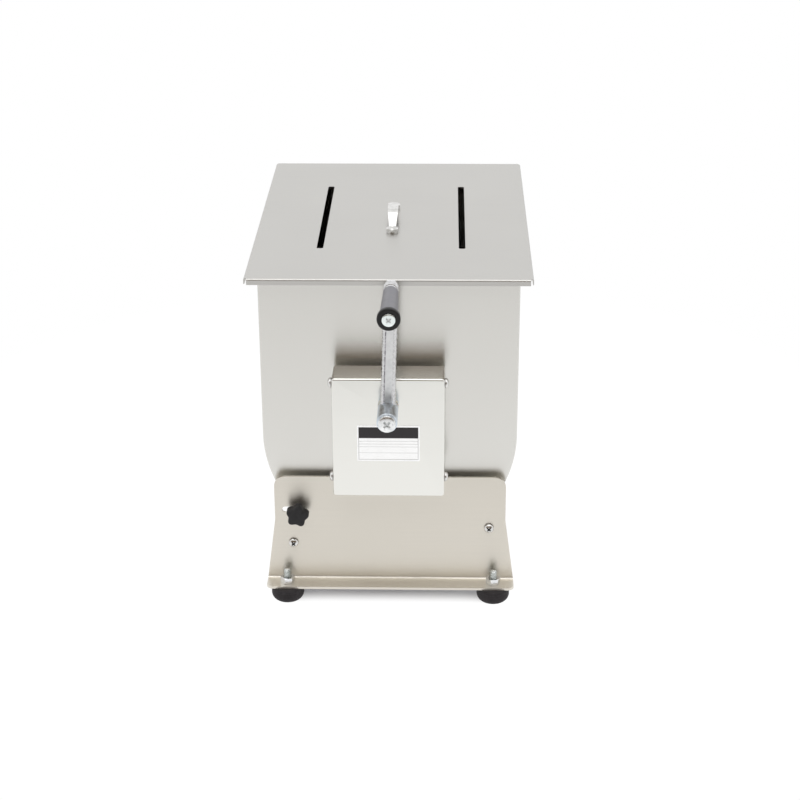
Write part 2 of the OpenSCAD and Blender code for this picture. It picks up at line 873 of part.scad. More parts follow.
module crank_front_bush() {
    bore = crank_shaft_d + 2 * run_gap;
    sleeve_d = bore + 2 * crank_bush_wall;
    color("ivory")
        at_crank()
            difference() {
                union() {
                    bar_y(sleeve_d + 2 * bush_flange_w, -cover_in, -cover_in + bush_flange_t);
                    bar_y(sleeve_d, -cover_front - bush_over, -cover_in + bush_flange_t);
                }
                bar_y(bore, -cover_front - bush_over - cut, -cover_in + bush_flange_t + cut);
            }
}

module lock_nut() {
    color("silver")
        at_axis()
            translate([knob_x, -plate_in, knob_z])
                rotate([-90, 0, 0])
                    hex_nut(nut_flats(lock_stud_d), lock_nut_h, lock_stud_d + 2 * run_gap);
}

// U-shaped outline about the mixing axis
module tank_outline(r, top) {
    union() {
        circle(r = r);
        translate([-r, 0]) square([2 * r, top]);
    }
}

module tank_trough() {
    color("lightgray")
        at_axis()
            sheet_y(-wall_out, wall_out)
                union() {
                    difference() {
                        tank_outline(tank_r, tank_side_h);
                        tank_outline(tank_r - tank_sheet, tank_side_h + cut);
                    }
                    for (x = [-tank_r - tank_rim_w, tank_r])
                        translate([x, tank_side_h - tank_sheet]) square([tank_rim_w, tank_sheet]);
                }
}

// End wall at the rear end, fitted inside the trough, with its part of the rim
module tank_end_wall(front) {
    rim_half = tank_r + tank_rim_w;
    color("lightgray")
        at_axis()
            at_end(front)
                difference() {
                    union() {
                        sheet_y(wall_in, wall_out) tank_outline(tank_r - tank_sheet, tank_side_h);
                        translate([-rim_half, wall_out, tank_side_h - tank_sheet])
                            cube([2 * rim_half, tank_rim_w, tank_sheet]);
                    }
                    bar_y(trunnion_d + 2 * fit_gap, wall_in - cut, wall_out + cut);
                }
}

module tank_front_wall() {
    tank_end_wall(true);
}

module tank_rear_wall() {
    tank_end_wall(false);
}

// Flanged tube on an end wall, drawn at the rear end
module trunnion(front) {
    color("silver")
        at_axis()
            at_end(front)
                difference() {
                    union() {
                        bar_y(trunnion_d, wall_in, trunnion_end);
                        bar_y(trunnion_flange_d, wall_out, trunnion_flange_end);
                    }
                    bar_y(trunnion_bore, wall_in - cut, trunnion_end + cut);
                }
}

module front_trunnion() {
    trunnion(true);
}

module rear_trunnion() {
    trunnion(false);
}

// Flanged bush inside a trunnion, drawn at the rear end
module shaft_bush(front) {
    bore = shaft_d + 2 * run_gap;
    color("ivory")
        at_axis()
            at_end(front)
                difference() {
                    union() {
                        bar_y(seal_d, wall_in - bush_flange_t, wall_in);
                        bar_y(trunnion_bore - 2 * fit_gap, wall_in - bush_flange_t, trunnion_end);
                    }
                    bar_y(bore, wall_in - bush_flange_t - cut, trunnion_end + cut);
                }
}

module front_shaft_bush() {
    shaft_bush(true);
}

module rear_shaft_bush() {
    shaft_bush(false);
}

// Rubber ring between a shaft bush and the shaft's shoulder, drawn at the rear end
module shaft_seal(front) {
    color("dimgray")
        at_axis()
            at_end(front)
                ring_y(seal_d, shaft_d + 2 * run_gap, seal_in, wall_in - bush_flange_t);
}

module front_shaft_seal() {
    shaft_seal(true);
}

module rear_shaft_seal() {
    shaft_seal(false);
}

// Fold and lip along one edge of the lid: X to the outside, Y up, from the outer top corner
module lip_profile() {
    intersection() {
        translate([-lid_fold_r, -lid_fold_r]) square(lid_fold_r);
        translate([-lid_fold_r, -lid_fold_r])
            difference() {
                circle(r = lid_fold_r);
                circle(r = lid_fold_r - lid_sheet);
            }
    }
    translate([-lid_sheet, -lid_lip_h]) square([lid_sheet, lid_lip_h - lid_fold_r]);
}

// Lip that stands out towards +X at a distance from the lid's middle
module lid_lip(reach, half_len) {
    translate([reach, half_len - lid_corner_notch, lid_top])
        rotate([90, 0, 0]) linear_extrude(height = 2 * (half_len - lid_corner_notch)) lip_profile();
}

module lid_panel() {
    color("lightgray")
        at_axis()
            difference() {
                union() {
                    translate([lid_fold_r - lid_half_w, lid_fold_r - lid_half_len, lid_top - lid_sheet])
                        cube([2 * (lid_half_w - lid_fold_r), 2 * (lid_half_len - lid_fold_r), lid_sheet]);
                    for (turn = [0, 180])
                        rotate([0, 0, turn]) lid_lip(lid_half_w, lid_half_len);
                    for (turn = [90, 270])
                        rotate([0, 0, turn]) lid_lip(lid_half_len, lid_half_w);
                }
                for (x = [-lid_slot_gap / 2, lid_slot_gap / 2])
                    translate([x - lid_slot_w / 2, -lid_slot_len / 2, lid_top - lid_sheet - cut])
                        linear_extrude(height = lid_sheet + 2 * cut)
                            round_box(lid_slot_w, lid_slot_len, lid_slot_r);
                at_handle_feet()
                    translate([0, 0, -lid_sheet - cut])
                        cylinder(d = handle_screw_d + 2 * screw_gap, h = lid_sheet + 2 * cut);
            }
}

// Repeats a piece at the handle's two feet, standing on the lid
module at_handle_feet() {
    for (y = [-handle_span / 2, handle_span / 2])
        translate([0, y - handle_forward, lid_top]) children();
}

// Side view of the strap: X along the lid, Y up
module strap_profile() {
    foot = handle_span / 2 + handle_foot_d / 2;
    heel = handle_span / 2 - handle_heel;
    knee = handle_top_len / 2;
    difference() {
        polygon([
            [-foot, 0], [foot, 0], [foot, handle_t], [heel, handle_t],
            [knee, handle_h], [-knee, handle_h], [-heel, handle_t], [-foot, handle_t]
        ]);
        polygon([
            [-heel, -cut], [heel, -cut], [heel, 0],
            [knee, handle_h - handle_t], [-knee, handle_h - handle_t], [-heel, 0]
        ]);
    }
}

// Top view of the strap: X across it, Y along it
module strap_outline() {
    heel = handle_span / 2 - handle_heel;
    knee = handle_top_len / 2;
    union() {
        polygon([
            [handle_foot_w / 2, -handle_span / 2], [handle_foot_w / 2, -heel],
            [handle_mid_w / 2, -knee], [handle_mid_w / 2, knee],
            [handle_foot_w / 2, heel], [handle_foot_w / 2, handle_span / 2],
            [-handle_foot_w / 2, handle_span / 2], [-handle_foot_w / 2, heel],
            [-handle_mid_w / 2, knee], [-handle_mid_w / 2, -knee],
            [-handle_foot_w / 2, -heel], [-handle_foot_w / 2, -handle_span / 2]
        ]);
        for (y = [-handle_span / 2, handle_span / 2])
            translate([0, y]) circle(d = handle_foot_d);
    }
}

module lid_handle() {
    widest = max(handle_mid_w, handle_foot_d);
    color("silver")
        at_axis()
            difference() {
                translate([0, -handle_forward, lid_top])
                    intersection() {
                        translate([-widest / 2 - cut, 0, 0])
                            rotate([90, 0, 90]) linear_extrude(height = widest + 2 * cut) strap_profile();
                        linear_extrude(height = handle_h + cut) strap_outline();
                    }
                at_handle_feet()
                    translate([0, 0, -cut])
                        cylinder(d = handle_screw_d + 2 * screw_gap, h = handle_t + 2 * cut);
            }
}

// Low round head under the lid, with the thread standing up through the strap's foot
module lid_handle_screws() {
    thread_len = lid_sheet + handle_t + handle_nut_h;
    color("silver")
        at_axis()
            at_handle_feet()
                translate([0, 0, -lid_sheet]) {
                    translate([0, 0, -handle_head_h]) cylinder(d = handle_head_d, h = handle_head_h);
                    cylinder(d = handle_screw_d, h = thread_len);
                }
}

module lid_handle_nuts() {
    color("silver")
        at_axis()
            at_handle_feet()
                translate([0, 0, handle_t])
                    rotate([0, 0, 30])
                        hex_nut(handle_nut_flats, handle_nut_h, handle_screw_d + 2 * fit_gap);
}

module paddle_shaft() {
    color("silver")
        at_axis()
            difference() {
                union() {
                    bar_y(shaft_body_d, -shaft_shoulder, shaft_shoulder);
                    bar_y(shaft_d, -gear_back, rear_seat);
                    bar_y(gear_seat_d, -gear_front, -gear_back);
                    bar_y(shaft_thread_d, -shaft_front, -gear_front);
                    bar_y(shaft_thread_d, rear_seat, shaft_rear);
                }
                translate([-key_w / 2 - fit_gap, -gear_front - cut, gear_seat_d / 2 - key_w / 2])
                    cube([key_w + 2 * fit_gap, gear_face + cut, key_w]);
            }
}

// Repeats a piece at the paddles, each turned on from the last, drawn with the paddle standing up
module at_paddles() {
    for (k = [0:paddle_count - 1])
        translate([0, (k - (paddle_count - 1) / 2) * paddle_step, 0])
            rotate([0, k * paddle_turn, 0]) children();
}

module paddle_arms() {
    color("silver")
        at_axis()
            difference() {
                at_paddles() cylinder(d = paddle_arm_d, h = blade_foot);
                bar_y(shaft_body_d, -shaft_shoulder, shaft_shoulder);
            }
}

module paddle_blades() {
    color("silver")
        at_axis()
            at_paddles()
                translate([0, 0, blade_foot])
                    rotate([0, 0, blade_pitch])
                        translate([-blade_t / 2, -blade_len / 2, 0]) cube([blade_t, blade_len, blade_w]);
}

module driven_gear() {
    color("dimgray")
        at_axis()
            difference() {
                sheet_y(-gear_front, -gear_back) gear_outline(gear_teeth, 90);
                bar_y(gear_seat_d + 2 * fit_gap, -gear_front - cut, -gear_back + cut);
                translate([-key_w / 2 - fit_gap, -gear_front - cut, 0])
                    cube([key_w + 2 * fit_gap, gear_face + 2 * cut, gear_seat_d / 2 + key_w / 2 + fit_gap]);
            }
}

module gear_key() {
    color("silver")
        at_axis()
            translate([-key_w / 2, -gear_front, gear_seat_d / 2 - key_w / 2])
                cube([key_w, gear_face, key_w]);
}

module shaft_washers() {
    color("silver")
        at_axis() {
            ring_y(shaft_washer_d, shaft_thread_d + 2 * fit_gap, -gear_front - shaft_washer_t, -gear_front);
            ring_y(shaft_washer_d, shaft_thread_d + 2 * fit_gap, rear_seat, rear_seat + shaft_washer_t);
        }
}

module shaft_nuts() {
    color("silver")
        at_axis()
            for (end = [[true, gear_front], [false, rear_seat]])
                at_end(end[0])
                    translate([0, end[1] + shaft_washer_t, 0])
                        rotate([-90, 0, 0])
                            hex_nut(nut_flats(shaft_thread_d), shaft_nut_h, shaft_thread_d + 2 * fit_gap);
}

module crank_shaft() {
    tap_end = hub_front - hub_screw_len - end_gap;
    color("silver")
        at_crank()
            difference() {
                union() {
                    bar_y(crank_journal_d, end_gap - hub_back - hub_seat, -crank_rear);
                    bar_y(crank_shaft_d, -hub_back, -crank_bush_out - slide_gap);
                }
                ring_y(crank_journal_d + cut, groove_d, -circlip_front, circlip_t - circlip_front);
                bar_y(hub_screw_d + 2 * fit_gap, -hub_back - hub_seat - cut, -tap_end);
                pinion_pin_bar(pinion_pin_d + 2 * fit_gap, pinion_hub_d);
            }
}

// Cross pin through the pinion's hub and the crank shaft
module pinion_pin_bar(d, len) {
    translate([-len / 2, -pinion_front - pinion_hub_len / 2, 0])
        rotate([0, 90, 0]) cylinder(d = d, h = len);
}

module pinion_gear() {
    color("dimgray")
        at_crank()
            difference() {
                union() {
                    sheet_y(-pinion_front, -pinion_back) gear_outline(pinion_teeth, 180 / pinion_teeth - 90);
                    bar_y(pinion_hub_d, -pinion_front - pinion_hub_len, -pinion_front);
                }
                bar_y(crank_shaft_d + 2 * fit_gap, -pinion_front - pinion_hub_len - cut, -pinion_back + cut);
                pinion_pin_bar(pinion_pin_d + 2 * fit_gap, pinion_hub_d + 2 * cut);
            }
}

module pinion_pin() {
    color("silver")
        at_crank()
            pinion_pin_bar(pinion_pin_d, pinion_hub_d - end_gap);
}

module crank_circlip() {
    color("silver")
        at_crank()
            ring_y(
                groove_d + 2 * (circlip_groove + circlip_w), groove_d + 2 * fit_gap,
                fit_gap - circlip_front, circlip_t - circlip_front - fit_gap
            );
}

module crank_hub() {
    color("silver")
        at_crank()
            difference() {
                bar_y(hub_d, -hub_front, -hub_back);
                bar_y(crank_journal_d + 2 * fit_gap, -hub_back - hub_seat, -hub_back + cut);
                bar_y(hub_screw_d + 2 * screw_gap, -hub_front - cut, -hub_back);
            }
}

module hub_screw() {
    color("silver")
        at_crank()
            translate([0, -hub_front, 0])
                rotate([90, 0, 0]) pan_screw(hub_screw_d, hub_screw_len, hub_head_d, hub_head_h);
}

module crank_arm() {
    taper = atan((arm_hub_w - arm_tip_w) / 2 / crank_radius);
    color("silver")
        at_arm()
            difference() {
                sheet_y(-arm_front, -hub_back)
                    union() {
                        polygon([
                            [-arm_hub_w / 2, 0], [arm_hub_w / 2, 0],
                            [arm_tip_w / 2, crank_radius], [-arm_tip_w / 2, crank_radius]
                        ]);
                        translate([0, crank_radius]) circle(d = arm_eye_d);
                    }
                bar_y(hub_d, -arm_front - cut, -hub_back + cut);
                translate([0, 0, crank_radius])
                    bar_y(grip_bolt_d + 2 * fit_gap, -arm_front - cut, -hub_back + cut);
                for (side = [-1, 1])
                    translate([side * arm_hub_w / 2, -arm_front, 0])
                        rotate([0, -side * taper, 0])
                            linear_extrude(height = crank_radius - arm_eye_d / 2)
                                polygon([
                                    [-side * arm_bevel, -cut], [side * cut, -cut],
                                    [side * cut, arm_bevel], [0, arm_bevel], [-side * arm_bevel, 0]
                                ]);
            }
}

module grip_bolt() {
    thread_len = grip_head_seat - hub_back + grip_nut_h + end_gap;
    color("silver")
        at_grip()
            translate([0, -grip_head_seat, 0])
                rotate([90, 0, 0]) pan_screw(grip_bolt_d, thread_len, grip_head_d, grip_head_h);
}

// Ring on the bolt that keeps the grip off the arm
module grip_spacer() {
    color("silver")
        at_grip()
            ring_y(
                grip_spacer_d, grip_bolt_d + 2 * fit_gap, -arm_front - grip_spacer_t, -arm_front
            );
}

module grip_nut() {
    color("silver")
        at_grip()
            translate([0, -hub_back, 0])
                rotate([-90, 0, 0])
                    hex_nut(nut_flats(grip_bolt_d), grip_nut_h, grip_bolt_d + 2 * fit_gap);
}

module crank_grip() {
    body_front = grip_front - grip_collar_len;
    back_r = grip_back_d / 2;
    collar_r = grip_collar_d / 2;
    head_room = grip_front - grip_head_seat + slide_gap;
    color("dimgray")
        at_grip()
            rotate([90, 0, 0])
                difference() {
                    rotate_extrude()
                        polygon([
                            [0, grip_back], [back_r - grip_edge, grip_back], [back_r, grip_back + grip_edge],
                            [grip_front_d / 2, body_front], [collar_r - grip_edge, body_front],
                            [collar_r, body_front + grip_edge], [collar_r, grip_front - grip_edge],
                            [collar_r - grip_edge, grip_front], [0, grip_front]
                        ]);
                    translate([0, 0, grip_back - cut])
                        cylinder(d = grip_bolt_d + 2 * run_gap, h = grip_len + 2 * cut);
                    translate([0, 0, grip_head_seat - slide_gap])
                        cylinder(d = grip_head_d + 2 * slide_gap, h = head_room + cut);
                }
}

// Wavy outline of the knob's head, about its axis
module knob_outline() {
    steps = 12 * knob_lobes;
    polygon([
        for (step = [0:steps - 1])
            let (angle = step * 360 / steps)
            let (r = knob_d / 2 - knob_valley * (1 - cos(knob_lobes * angle)) / 2)
            [r * cos(angle + knob_turn), r * sin(angle + knob_turn)]
    ]);
}

module star_knob() {
    color("dimgray")
        at_axis()
            translate([knob_x, 0, knob_z])
                difference() {
                    union() {
                        sheet_y(-knob_front, -knob_head_back) knob_outline();
                        bar_y(knob_neck_d, -knob_head_back, -knob_back);
                    }
                    bar_y(lock_stud_d + 2 * fit_gap, -knob_head_back - knob_head_t / 2, -knob_back + cut);
                }
}

module lock_stud() {
    color("silver")
        at_axis()
            translate([knob_x, 0, knob_z])
                bar_y(lock_stud_d, -knob_head_back - knob_head_t / 2, -wall_out - slide_gap);
}

front_stand_plate();
rear_stand_plate();
left_tie_rod();
right_tie_rod();
tie_rod_screws();
rubber_feet();
foot_studs();
foot_nuts();
left_cover_bracket();
right_cover_bracket();
gear_cover();
gear_cover_screws();
blank_label();
front_trunnion_bush();
rear_trunnion_bush();
crank_rear_bush();
crank_front_bush();
lock_nut();
tank_trough();
tank_front_wall();
tank_rear_wall();
front_trunnion();
rear_trunnion();
front_shaft_bush();
rear_shaft_bush();
front_shaft_seal();
rear_shaft_seal();
lid_panel();
lid_handle();
lid_handle_screws();
lid_handle_nuts();
paddle_shaft();
paddle_arms();
paddle_blades();
driven_gear();
gear_key();
shaft_washers();
shaft_nuts();
crank_shaft();
pinion_gear();
pinion_pin();
crank_circlip();
crank_hub();
hub_screw();
crank_arm();
grip_bolt();
grip_spacer();
grip_nut();
crank_grip();
star_knob();
lock_stud();
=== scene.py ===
import json
import math

import bmesh
import bpy
from mathutils import Matrix, Vector


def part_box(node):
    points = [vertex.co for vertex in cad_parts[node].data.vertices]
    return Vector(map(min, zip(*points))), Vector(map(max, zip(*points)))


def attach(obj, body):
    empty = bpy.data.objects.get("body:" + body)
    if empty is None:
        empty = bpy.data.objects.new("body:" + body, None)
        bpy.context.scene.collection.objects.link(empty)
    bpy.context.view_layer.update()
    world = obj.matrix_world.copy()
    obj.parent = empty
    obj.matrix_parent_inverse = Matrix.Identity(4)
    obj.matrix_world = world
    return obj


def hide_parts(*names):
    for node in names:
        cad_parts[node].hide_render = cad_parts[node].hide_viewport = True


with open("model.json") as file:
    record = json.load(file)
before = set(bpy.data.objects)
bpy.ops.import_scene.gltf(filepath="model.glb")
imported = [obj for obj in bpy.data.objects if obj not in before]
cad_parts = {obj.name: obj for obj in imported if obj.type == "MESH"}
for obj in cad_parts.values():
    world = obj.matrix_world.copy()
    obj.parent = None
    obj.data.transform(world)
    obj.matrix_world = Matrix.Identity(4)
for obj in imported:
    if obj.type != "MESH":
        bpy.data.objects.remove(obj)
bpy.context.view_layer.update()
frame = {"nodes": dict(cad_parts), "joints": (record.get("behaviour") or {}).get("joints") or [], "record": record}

# Stand plates. Two upright sheets of brushed stainless steel, bent out at the bottom into foot flanges.
# They are laser cut and folded on a press, so the cut edges are fine and the bends are soft.
mm = 0.001
stand_sheet = 2.5 * mm
plate_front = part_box("front_stand_plate")[1].y - stand_sheet
plate_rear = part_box("rear_stand_plate")[0].y + stand_sheet


def fill_socket(tree, socket, value):
    """Links a socket to another node's output, or sets its value."""
    if isinstance(value, bpy.types.NodeSocket):
        tree.links.new(value, socket)
    else:
        socket.default_value = value


def add_node(tree, kind, settings=None, **inputs):
    """One shader node: its settings are made, and its inputs set or linked by name, with _ for a space."""
    made = tree.nodes.new("ShaderNode" + kind)
    for key, value in (settings or {}).items():
        setattr(made, key, value)
    for key, value in inputs.items():
        fill_socket(tree, made.inputs[key.replace("_", " ")], value)
    return made


def mixed(tree, share, first, second):
    """The colour that lies between two colours, by a share from 0 to 1."""
    made = add_node(tree, "Mix", {"data_type": "RGBA"})
    # The node has sockets for several kinds of value, and these are the ones that mix colours
    for number, value in ((0, share), (6, first), (7, second)):
        fill_socket(tree, made.inputs[number], value)
    return made.outputs[2]


def ranged(tree, value, low, high, start=0.0, end=1.0):
    """A value that goes smoothly from low to high while the given one goes from start to end."""
    made = add_node(tree, "MapRange", {"interpolation_type": "SMOOTHSTEP"}, Value=value)
    for name, number in (("From Min", start), ("From Max", end), ("To Min", low), ("To Max", high)):
        made.inputs[name].default_value = number
    return made.outputs["Result"]


def reckoned(tree, operation, first, second=0.0):
    """The result of one sum on two values, or on one."""
    made = add_node(tree, "Math", {"operation": operation})
    fill_socket(tree, made.inputs[0], first)
    fill_socket(tree, made.inputs[1], second)
    return made.outputs["Value"]


def new_group(name, inputs, outputs):
    """An empty shader node group with its sockets, and its two end nodes."""
    group = bpy.data.node_groups.new(name, "ShaderNodeTree")
    for socket, kind in inputs.items():
        group.interface.new_socket(socket, in_out="INPUT", socket_type="NodeSocket" + kind)
    for socket, kind in outputs.items():
        group.interface.new_socket(socket, in_out="OUTPUT", socket_type="NodeSocket" + kind)
    return group, group.nodes.new("NodeGroupInput"), group.nodes.new("NodeGroupOutput")


def placed_group(tree, group, **inputs):
    """A shared effect put into a material's tree, with its own inputs."""
    return add_node(tree, "Group", {"node_tree": group}, **inputs)


def stretched_noise(tree, place, grains, detail=2.0):
    """Noise whose grains are drawn out: each axis has its own number of them to the metre."""
    mapped = add_node(tree, "Mapping", Vector=place, Scale=grains)
    noise = add_node(tree, "TexNoise", Vector=mapped.outputs["Vector"], Scale=1.0, Detail=detail)
    return noise.outputs["Fac"]


# The marks of a grinding belt: hair lines along X, wider bands of them, and broad cloudy patches
hair_grains, band_grains, cloud_grains = (26, 1900, 1900), (7, 330, 330), (11, 11, 11)
belt_marks, marks_in, marks_out = new_group(
    "belt_marks", {"Place": "Vector"}, {"Lines": "Float", "Clouds": "Float", "Height": "Float"})
hairs = stretched_noise(belt_marks, marks_in.outputs["Place"], hair_grains, detail=3.0)
bands = stretched_noise(belt_marks, marks_in.outputs["Place"], band_grains)
clouds = stretched_noise(belt_marks, marks_in.outputs["Place"], cloud_grains)
lines = reckoned(belt_marks, "ADD", hairs, bands)
belt_marks.links.new(ranged(belt_marks, lines, 0.0, 1.0, start=0.7, end=1.3), marks_out.inputs["Lines"])
belt_marks.links.new(ranged(belt_marks, clouds, 0.0, 1.0, start=0.3, end=0.7), marks_out.inputs["Clouds"])
belt_marks.links.new(hairs, marks_out.inputs["Height"])


def new_material(name, **values):
    """A material with its Principled shader, whose constant sockets are set by name."""
    material = bpy.data.materials.new(name)
    material.use_nodes = True
    tree = material.node_tree
    shader = tree.nodes["Principled BSDF"]
    for key, value in values.items():
        shader.inputs[key.replace("_", " ")].default_value = value
    return material, tree, shader


def shade(colour, share=1.0):
    """A colour made darker or brighter by a share, with its alpha."""
    return [share * c for c in colour] + [1]


def link_looks(tree, shader, colour, tone, roughness, height, strength, depth):
    """Links a shader to its colour, to a roughness that follows a tone, and to a height that stands out
    of the surface by a depth in metres."""
    tree.links.new(colour, shader.inputs["Base Color"])
    tree.links.new(ranged(tree, tone, *roughness), shader.inputs["Roughness"])
    bump = add_node(tree, "Bump", Height=height, Strength=strength, Distance=depth)
    tree.links.new(bump.outputs["Normal"], shader.inputs["Normal"])


def object_place(tree, turn=(0, 0, 0)):
    """The place on the piece, turned so that a pattern's lines run the right way."""
    place = add_node(tree, "TexCoord").outputs["Object"]
    return add_node(tree, "Mapping", Vector=place, Rotation=turn).outputs["Vector"]


def brushed_steel(name, tint, across, roughness, turn=0.0, stretch=0.6, contrast=0.03, relief=0.008):
    """Ground stainless sheet. across is the direction square to its lines, turn the lines' turn about Z."""
    material, tree, shader = new_material(name, Metallic=1.0, Anisotropic=stretch)
    marks = placed_group(tree, belt_marks, Place=object_place(tree, (0, 0, turn)))
    lined = mixed(tree, marks.outputs["Lines"], shade(tint, 1 - contrast), shade(tint))
    clouded = mixed(tree, marks.outputs["Clouds"], shade(tint, 1 - contrast), lined)
    link_looks(tree, shader, clouded, marks.outputs["Lines"], roughness,
               height=marks.outputs["Height"], strength=relief, depth=0.1 * mm)
    # Reflections are drawn out across the lines, and go on doing so when the piece moves
    flow = add_node(tree, "CombineXYZ", X=across[0], Y=across[1], Z=across[2])
    follow = add_node(tree, "VectorTransform",
                      {"vector_type": "VECTOR", "convert_from": "OBJECT", "convert_to": "WORLD"},
                      Vector=flow.outputs["Vector"])
    tree.links.new(follow.outputs["Vector"], shader.inputs["Tangent"])
    return material


def dress(material, *names):
    """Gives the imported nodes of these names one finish."""
    for name in names:
        finish = frame["nodes"][name].data.materials
        finish.clear()
        finish.append(material)


upright_across = (0, 0.15, 1)
stand_steel = brushed_steel("stand_steel", tint=(0.77, 0.735, 0.664), across=upright_across,
                            roughness=(0.38, 0.41))
dress(stand_steel, "front_stand_plate", "rear_stand_plate")

# Tie rods. Two turned steel bars that hold the plates apart, each with a cross-recess pan head screw in
# both ends. The bars keep the lathe's fine rings, and the screws are bright stainless steel.
ring_grains, smear_grains = (15, 15, 1500), (90, 90, 40)
turning_marks, turning_in, turning_out = new_group(
    "turning_marks", {"Place": "Vector"}, {"Rings": "Float", "Smears": "Float"})
ring_noise = stretched_noise(turning_marks, turning_in.outputs["Place"], ring_grains, detail=3.0)
smear_noise = stretched_noise(turning_marks, turning_in.outputs["Place"], smear_grains)
for mark, noise in (("Rings", ring_noise), ("Smears", smear_noise)):
    strength = ranged(turning_marks, noise, 0.0, 1.0, start=0.35, end=0.65)
    turning_marks.links.new(strength, turning_out.inputs[mark])


def turned_steel(name, tint, roughness):
    """Steel from a lathe, with rings about its axis along Y. The pattern's Z is turned onto that axis."""
    ring_shade, z_onto_y = 0.9, (math.pi / 2, 0, 0)
    material, tree, shader = new_material(name, Metallic=1.0)
    marks = placed_group(tree, turning_marks, Place=object_place(tree, z_onto_y))
    ringed = mixed(tree, marks.outputs["Rings"], shade(tint, ring_shade), shade(tint))
    smeared = mixed(tree, marks.outputs["Smears"], ringed, shade(tint))
    link_looks(tree, shader, smeared, marks.outputs["Smears"], roughness,
               height=marks.outputs["Rings"], strength=0.08, depth=0.05 * mm)
    return material


shaft_steel = turned_steel("shaft_steel", tint=(0.62, 0.62, 0.61), roughness=(0.2, 0.32))
dress(shaft_steel, "left_tie_rod", "right_tie_rod")
weld_gap, cut_gap = 0.001 * mm, 0.0001 * mm


def lathed(outline, steps=48):
    """A turned shape about Z: an outline of (radius, height) points, spun once round."""
    shape = bmesh.new()
    points = [shape.verts.new((radius, 0, height)) for radius, height in outline]
    edges = [shape.edges.new(pair) for pair in zip(points, points[1:])]
    bmesh.ops.spin(shape, geom=points + edges, cent=(0, 0, 0), axis=(0, 0, 1), angle=2 * math.pi,
                   steps=steps, use_merge=True)
    bmesh.ops.remove_doubles(shape, verts=shape.verts, dist=weld_gap)
    bmesh.ops.recalc_face_normals(shape, faces=shape.faces)
    return shape


def arc(centre, radius, start, end, steps=6):
    """Points of a round stretch of an outline, between two angles in degrees."""
    angles = [math.radians(start + (end - start) * k / steps) for k in range(steps + 1)]
    return [(centre[0] + radius * math.cos(a), centre[1] + radius * math.sin(a)) for a in angles]


def as_mesh(shape):
    """A mesh with this shape, which is used up."""
    mesh = bpy.data.meshes.new("shape")
    shape.to_mesh(mesh)
    shape.free()
    return mesh


def repeated(shape, places):
    """One shape put at several places, each given as a matrix."""
    whole = bmesh.new()
    part = as_mesh(shape)
    for place in places:
        moved = part.copy()
        moved.transform(place)
        whole.from_mesh(moved)
        bpy.data.meshes.remove(moved)
    bpy.data.meshes.remove(part)
    return whole


def joined(*shapes):
    """Several shapes as one mesh."""
    whole = bmesh.new()
    for shape in shapes:
        part = as_mesh(shape)
        whole.from_mesh(part)
        bpy.data.meshes.remove(part)
    return whole


scene = bpy.context.scene
most_finishes = 3


def carved(shape, tool, operation="DIFFERENCE"):
    """A shape with a tool's shape taken out of it, or joined to it. Each keeps its faces' finishes."""
    pair = [bpy.data.objects.new("carving", as_mesh(each)) for each in (shape, tool)]
    for each in pair:
        for _ in range(most_finishes):
            each.data.materials.append(None)
        scene.collection.objects.link(each)
    cut = pair[0].modifiers.new("cut", "BOOLEAN")
    cut.object = pair[1]
    cut.operation = operation
    cut.solver = "EXACT"
    after_cut = pair[0].evaluated_get(bpy.context.evaluated_depsgraph_get())
    finished = bpy.data.meshes.new_from_object(after_cut)
    result = bmesh.new()
    result.from_mesh(finished)
    for mesh in [each.data for each in pair] + [finished]:
        bpy.data.meshes.remove(mesh)
    return result


def facing(place, way, turn=0.0):
    """A matrix that puts a shape's foot at a place and its Z axis along a way, turned about it in degrees."""
    aim = Vector(way).to_track_quat("Z", "Y").to_matrix().to_4x4()
    return Matrix.Translation(place) @ aim @ Matrix.Rotation(math.radians(turn), 4, "Z")


FRONT, REAR, UP, LEFT, RIGHT = (0, -1, 0), (0, 1, 0), (0, 0, 1), (-1, 0, 0), (1, 0, 0)


def threaded(thread, pitch, low, high, lead=0.0, steps=24):
    """A threaded rod about Z: a toothed outline spun round as it climbs one pitch, cut off at both ends."""
    crest, root = thread / 2, thread / 2 - 0.6 * pitch
    # One tooth, as radii and shares of the pitch. Spare teeth at both ends let the cuts go through whole ones
    tooth = [(crest, 0.0), (crest, 0.12), (root, 0.5), (root, 0.62)]
    spare_turns, turns_below = 2, 1.5
    turns = math.ceil((high - low) / pitch) + spare_turns
    rod = bmesh.new()
    points = [rod.verts.new((radius, 0, low + pitch * (turn + share - turns_below)))
              for turn in range(turns + 1) for radius, share in tooth]
    edges = [rod.edges.new(pair) for pair in zip(points, points[1:])]
    bmesh.ops.spin(rod, geom=points + edges, cent=(0, 0, 0), axis=(0, 0, 1), dvec=(0, 0, pitch / steps),
                   angle=2 * math.pi, steps=steps)
    bmesh.ops.remove_doubles(rod, verts=rod.verts, dist=2 * weld_gap)
    for height, way in ((low, -1), (high, 1)):
        bmesh.ops.bisect_plane(rod, geom=rod.verts[:] + rod.edges[:] + rod.faces[:], dist=cut_gap,
                               plane_co=(0, 0, height), plane_no=(0, 0, way), clear_outer=True)
    bmesh.ops.holes_fill(rod, edges=[edge for edge in rod.edges if edge.is_boundary], sides=0)
    for vert in rod.verts:
        radius = math.hypot(vert.co.x, vert.co.y)
        most = crest - max(0.0, vert.co.z - high + lead)
        if radius > most:
            vert.co.xy *= most / radius
    bmesh.ops.recalc_face_normals(rod, faces=rod.faces)
    return rod


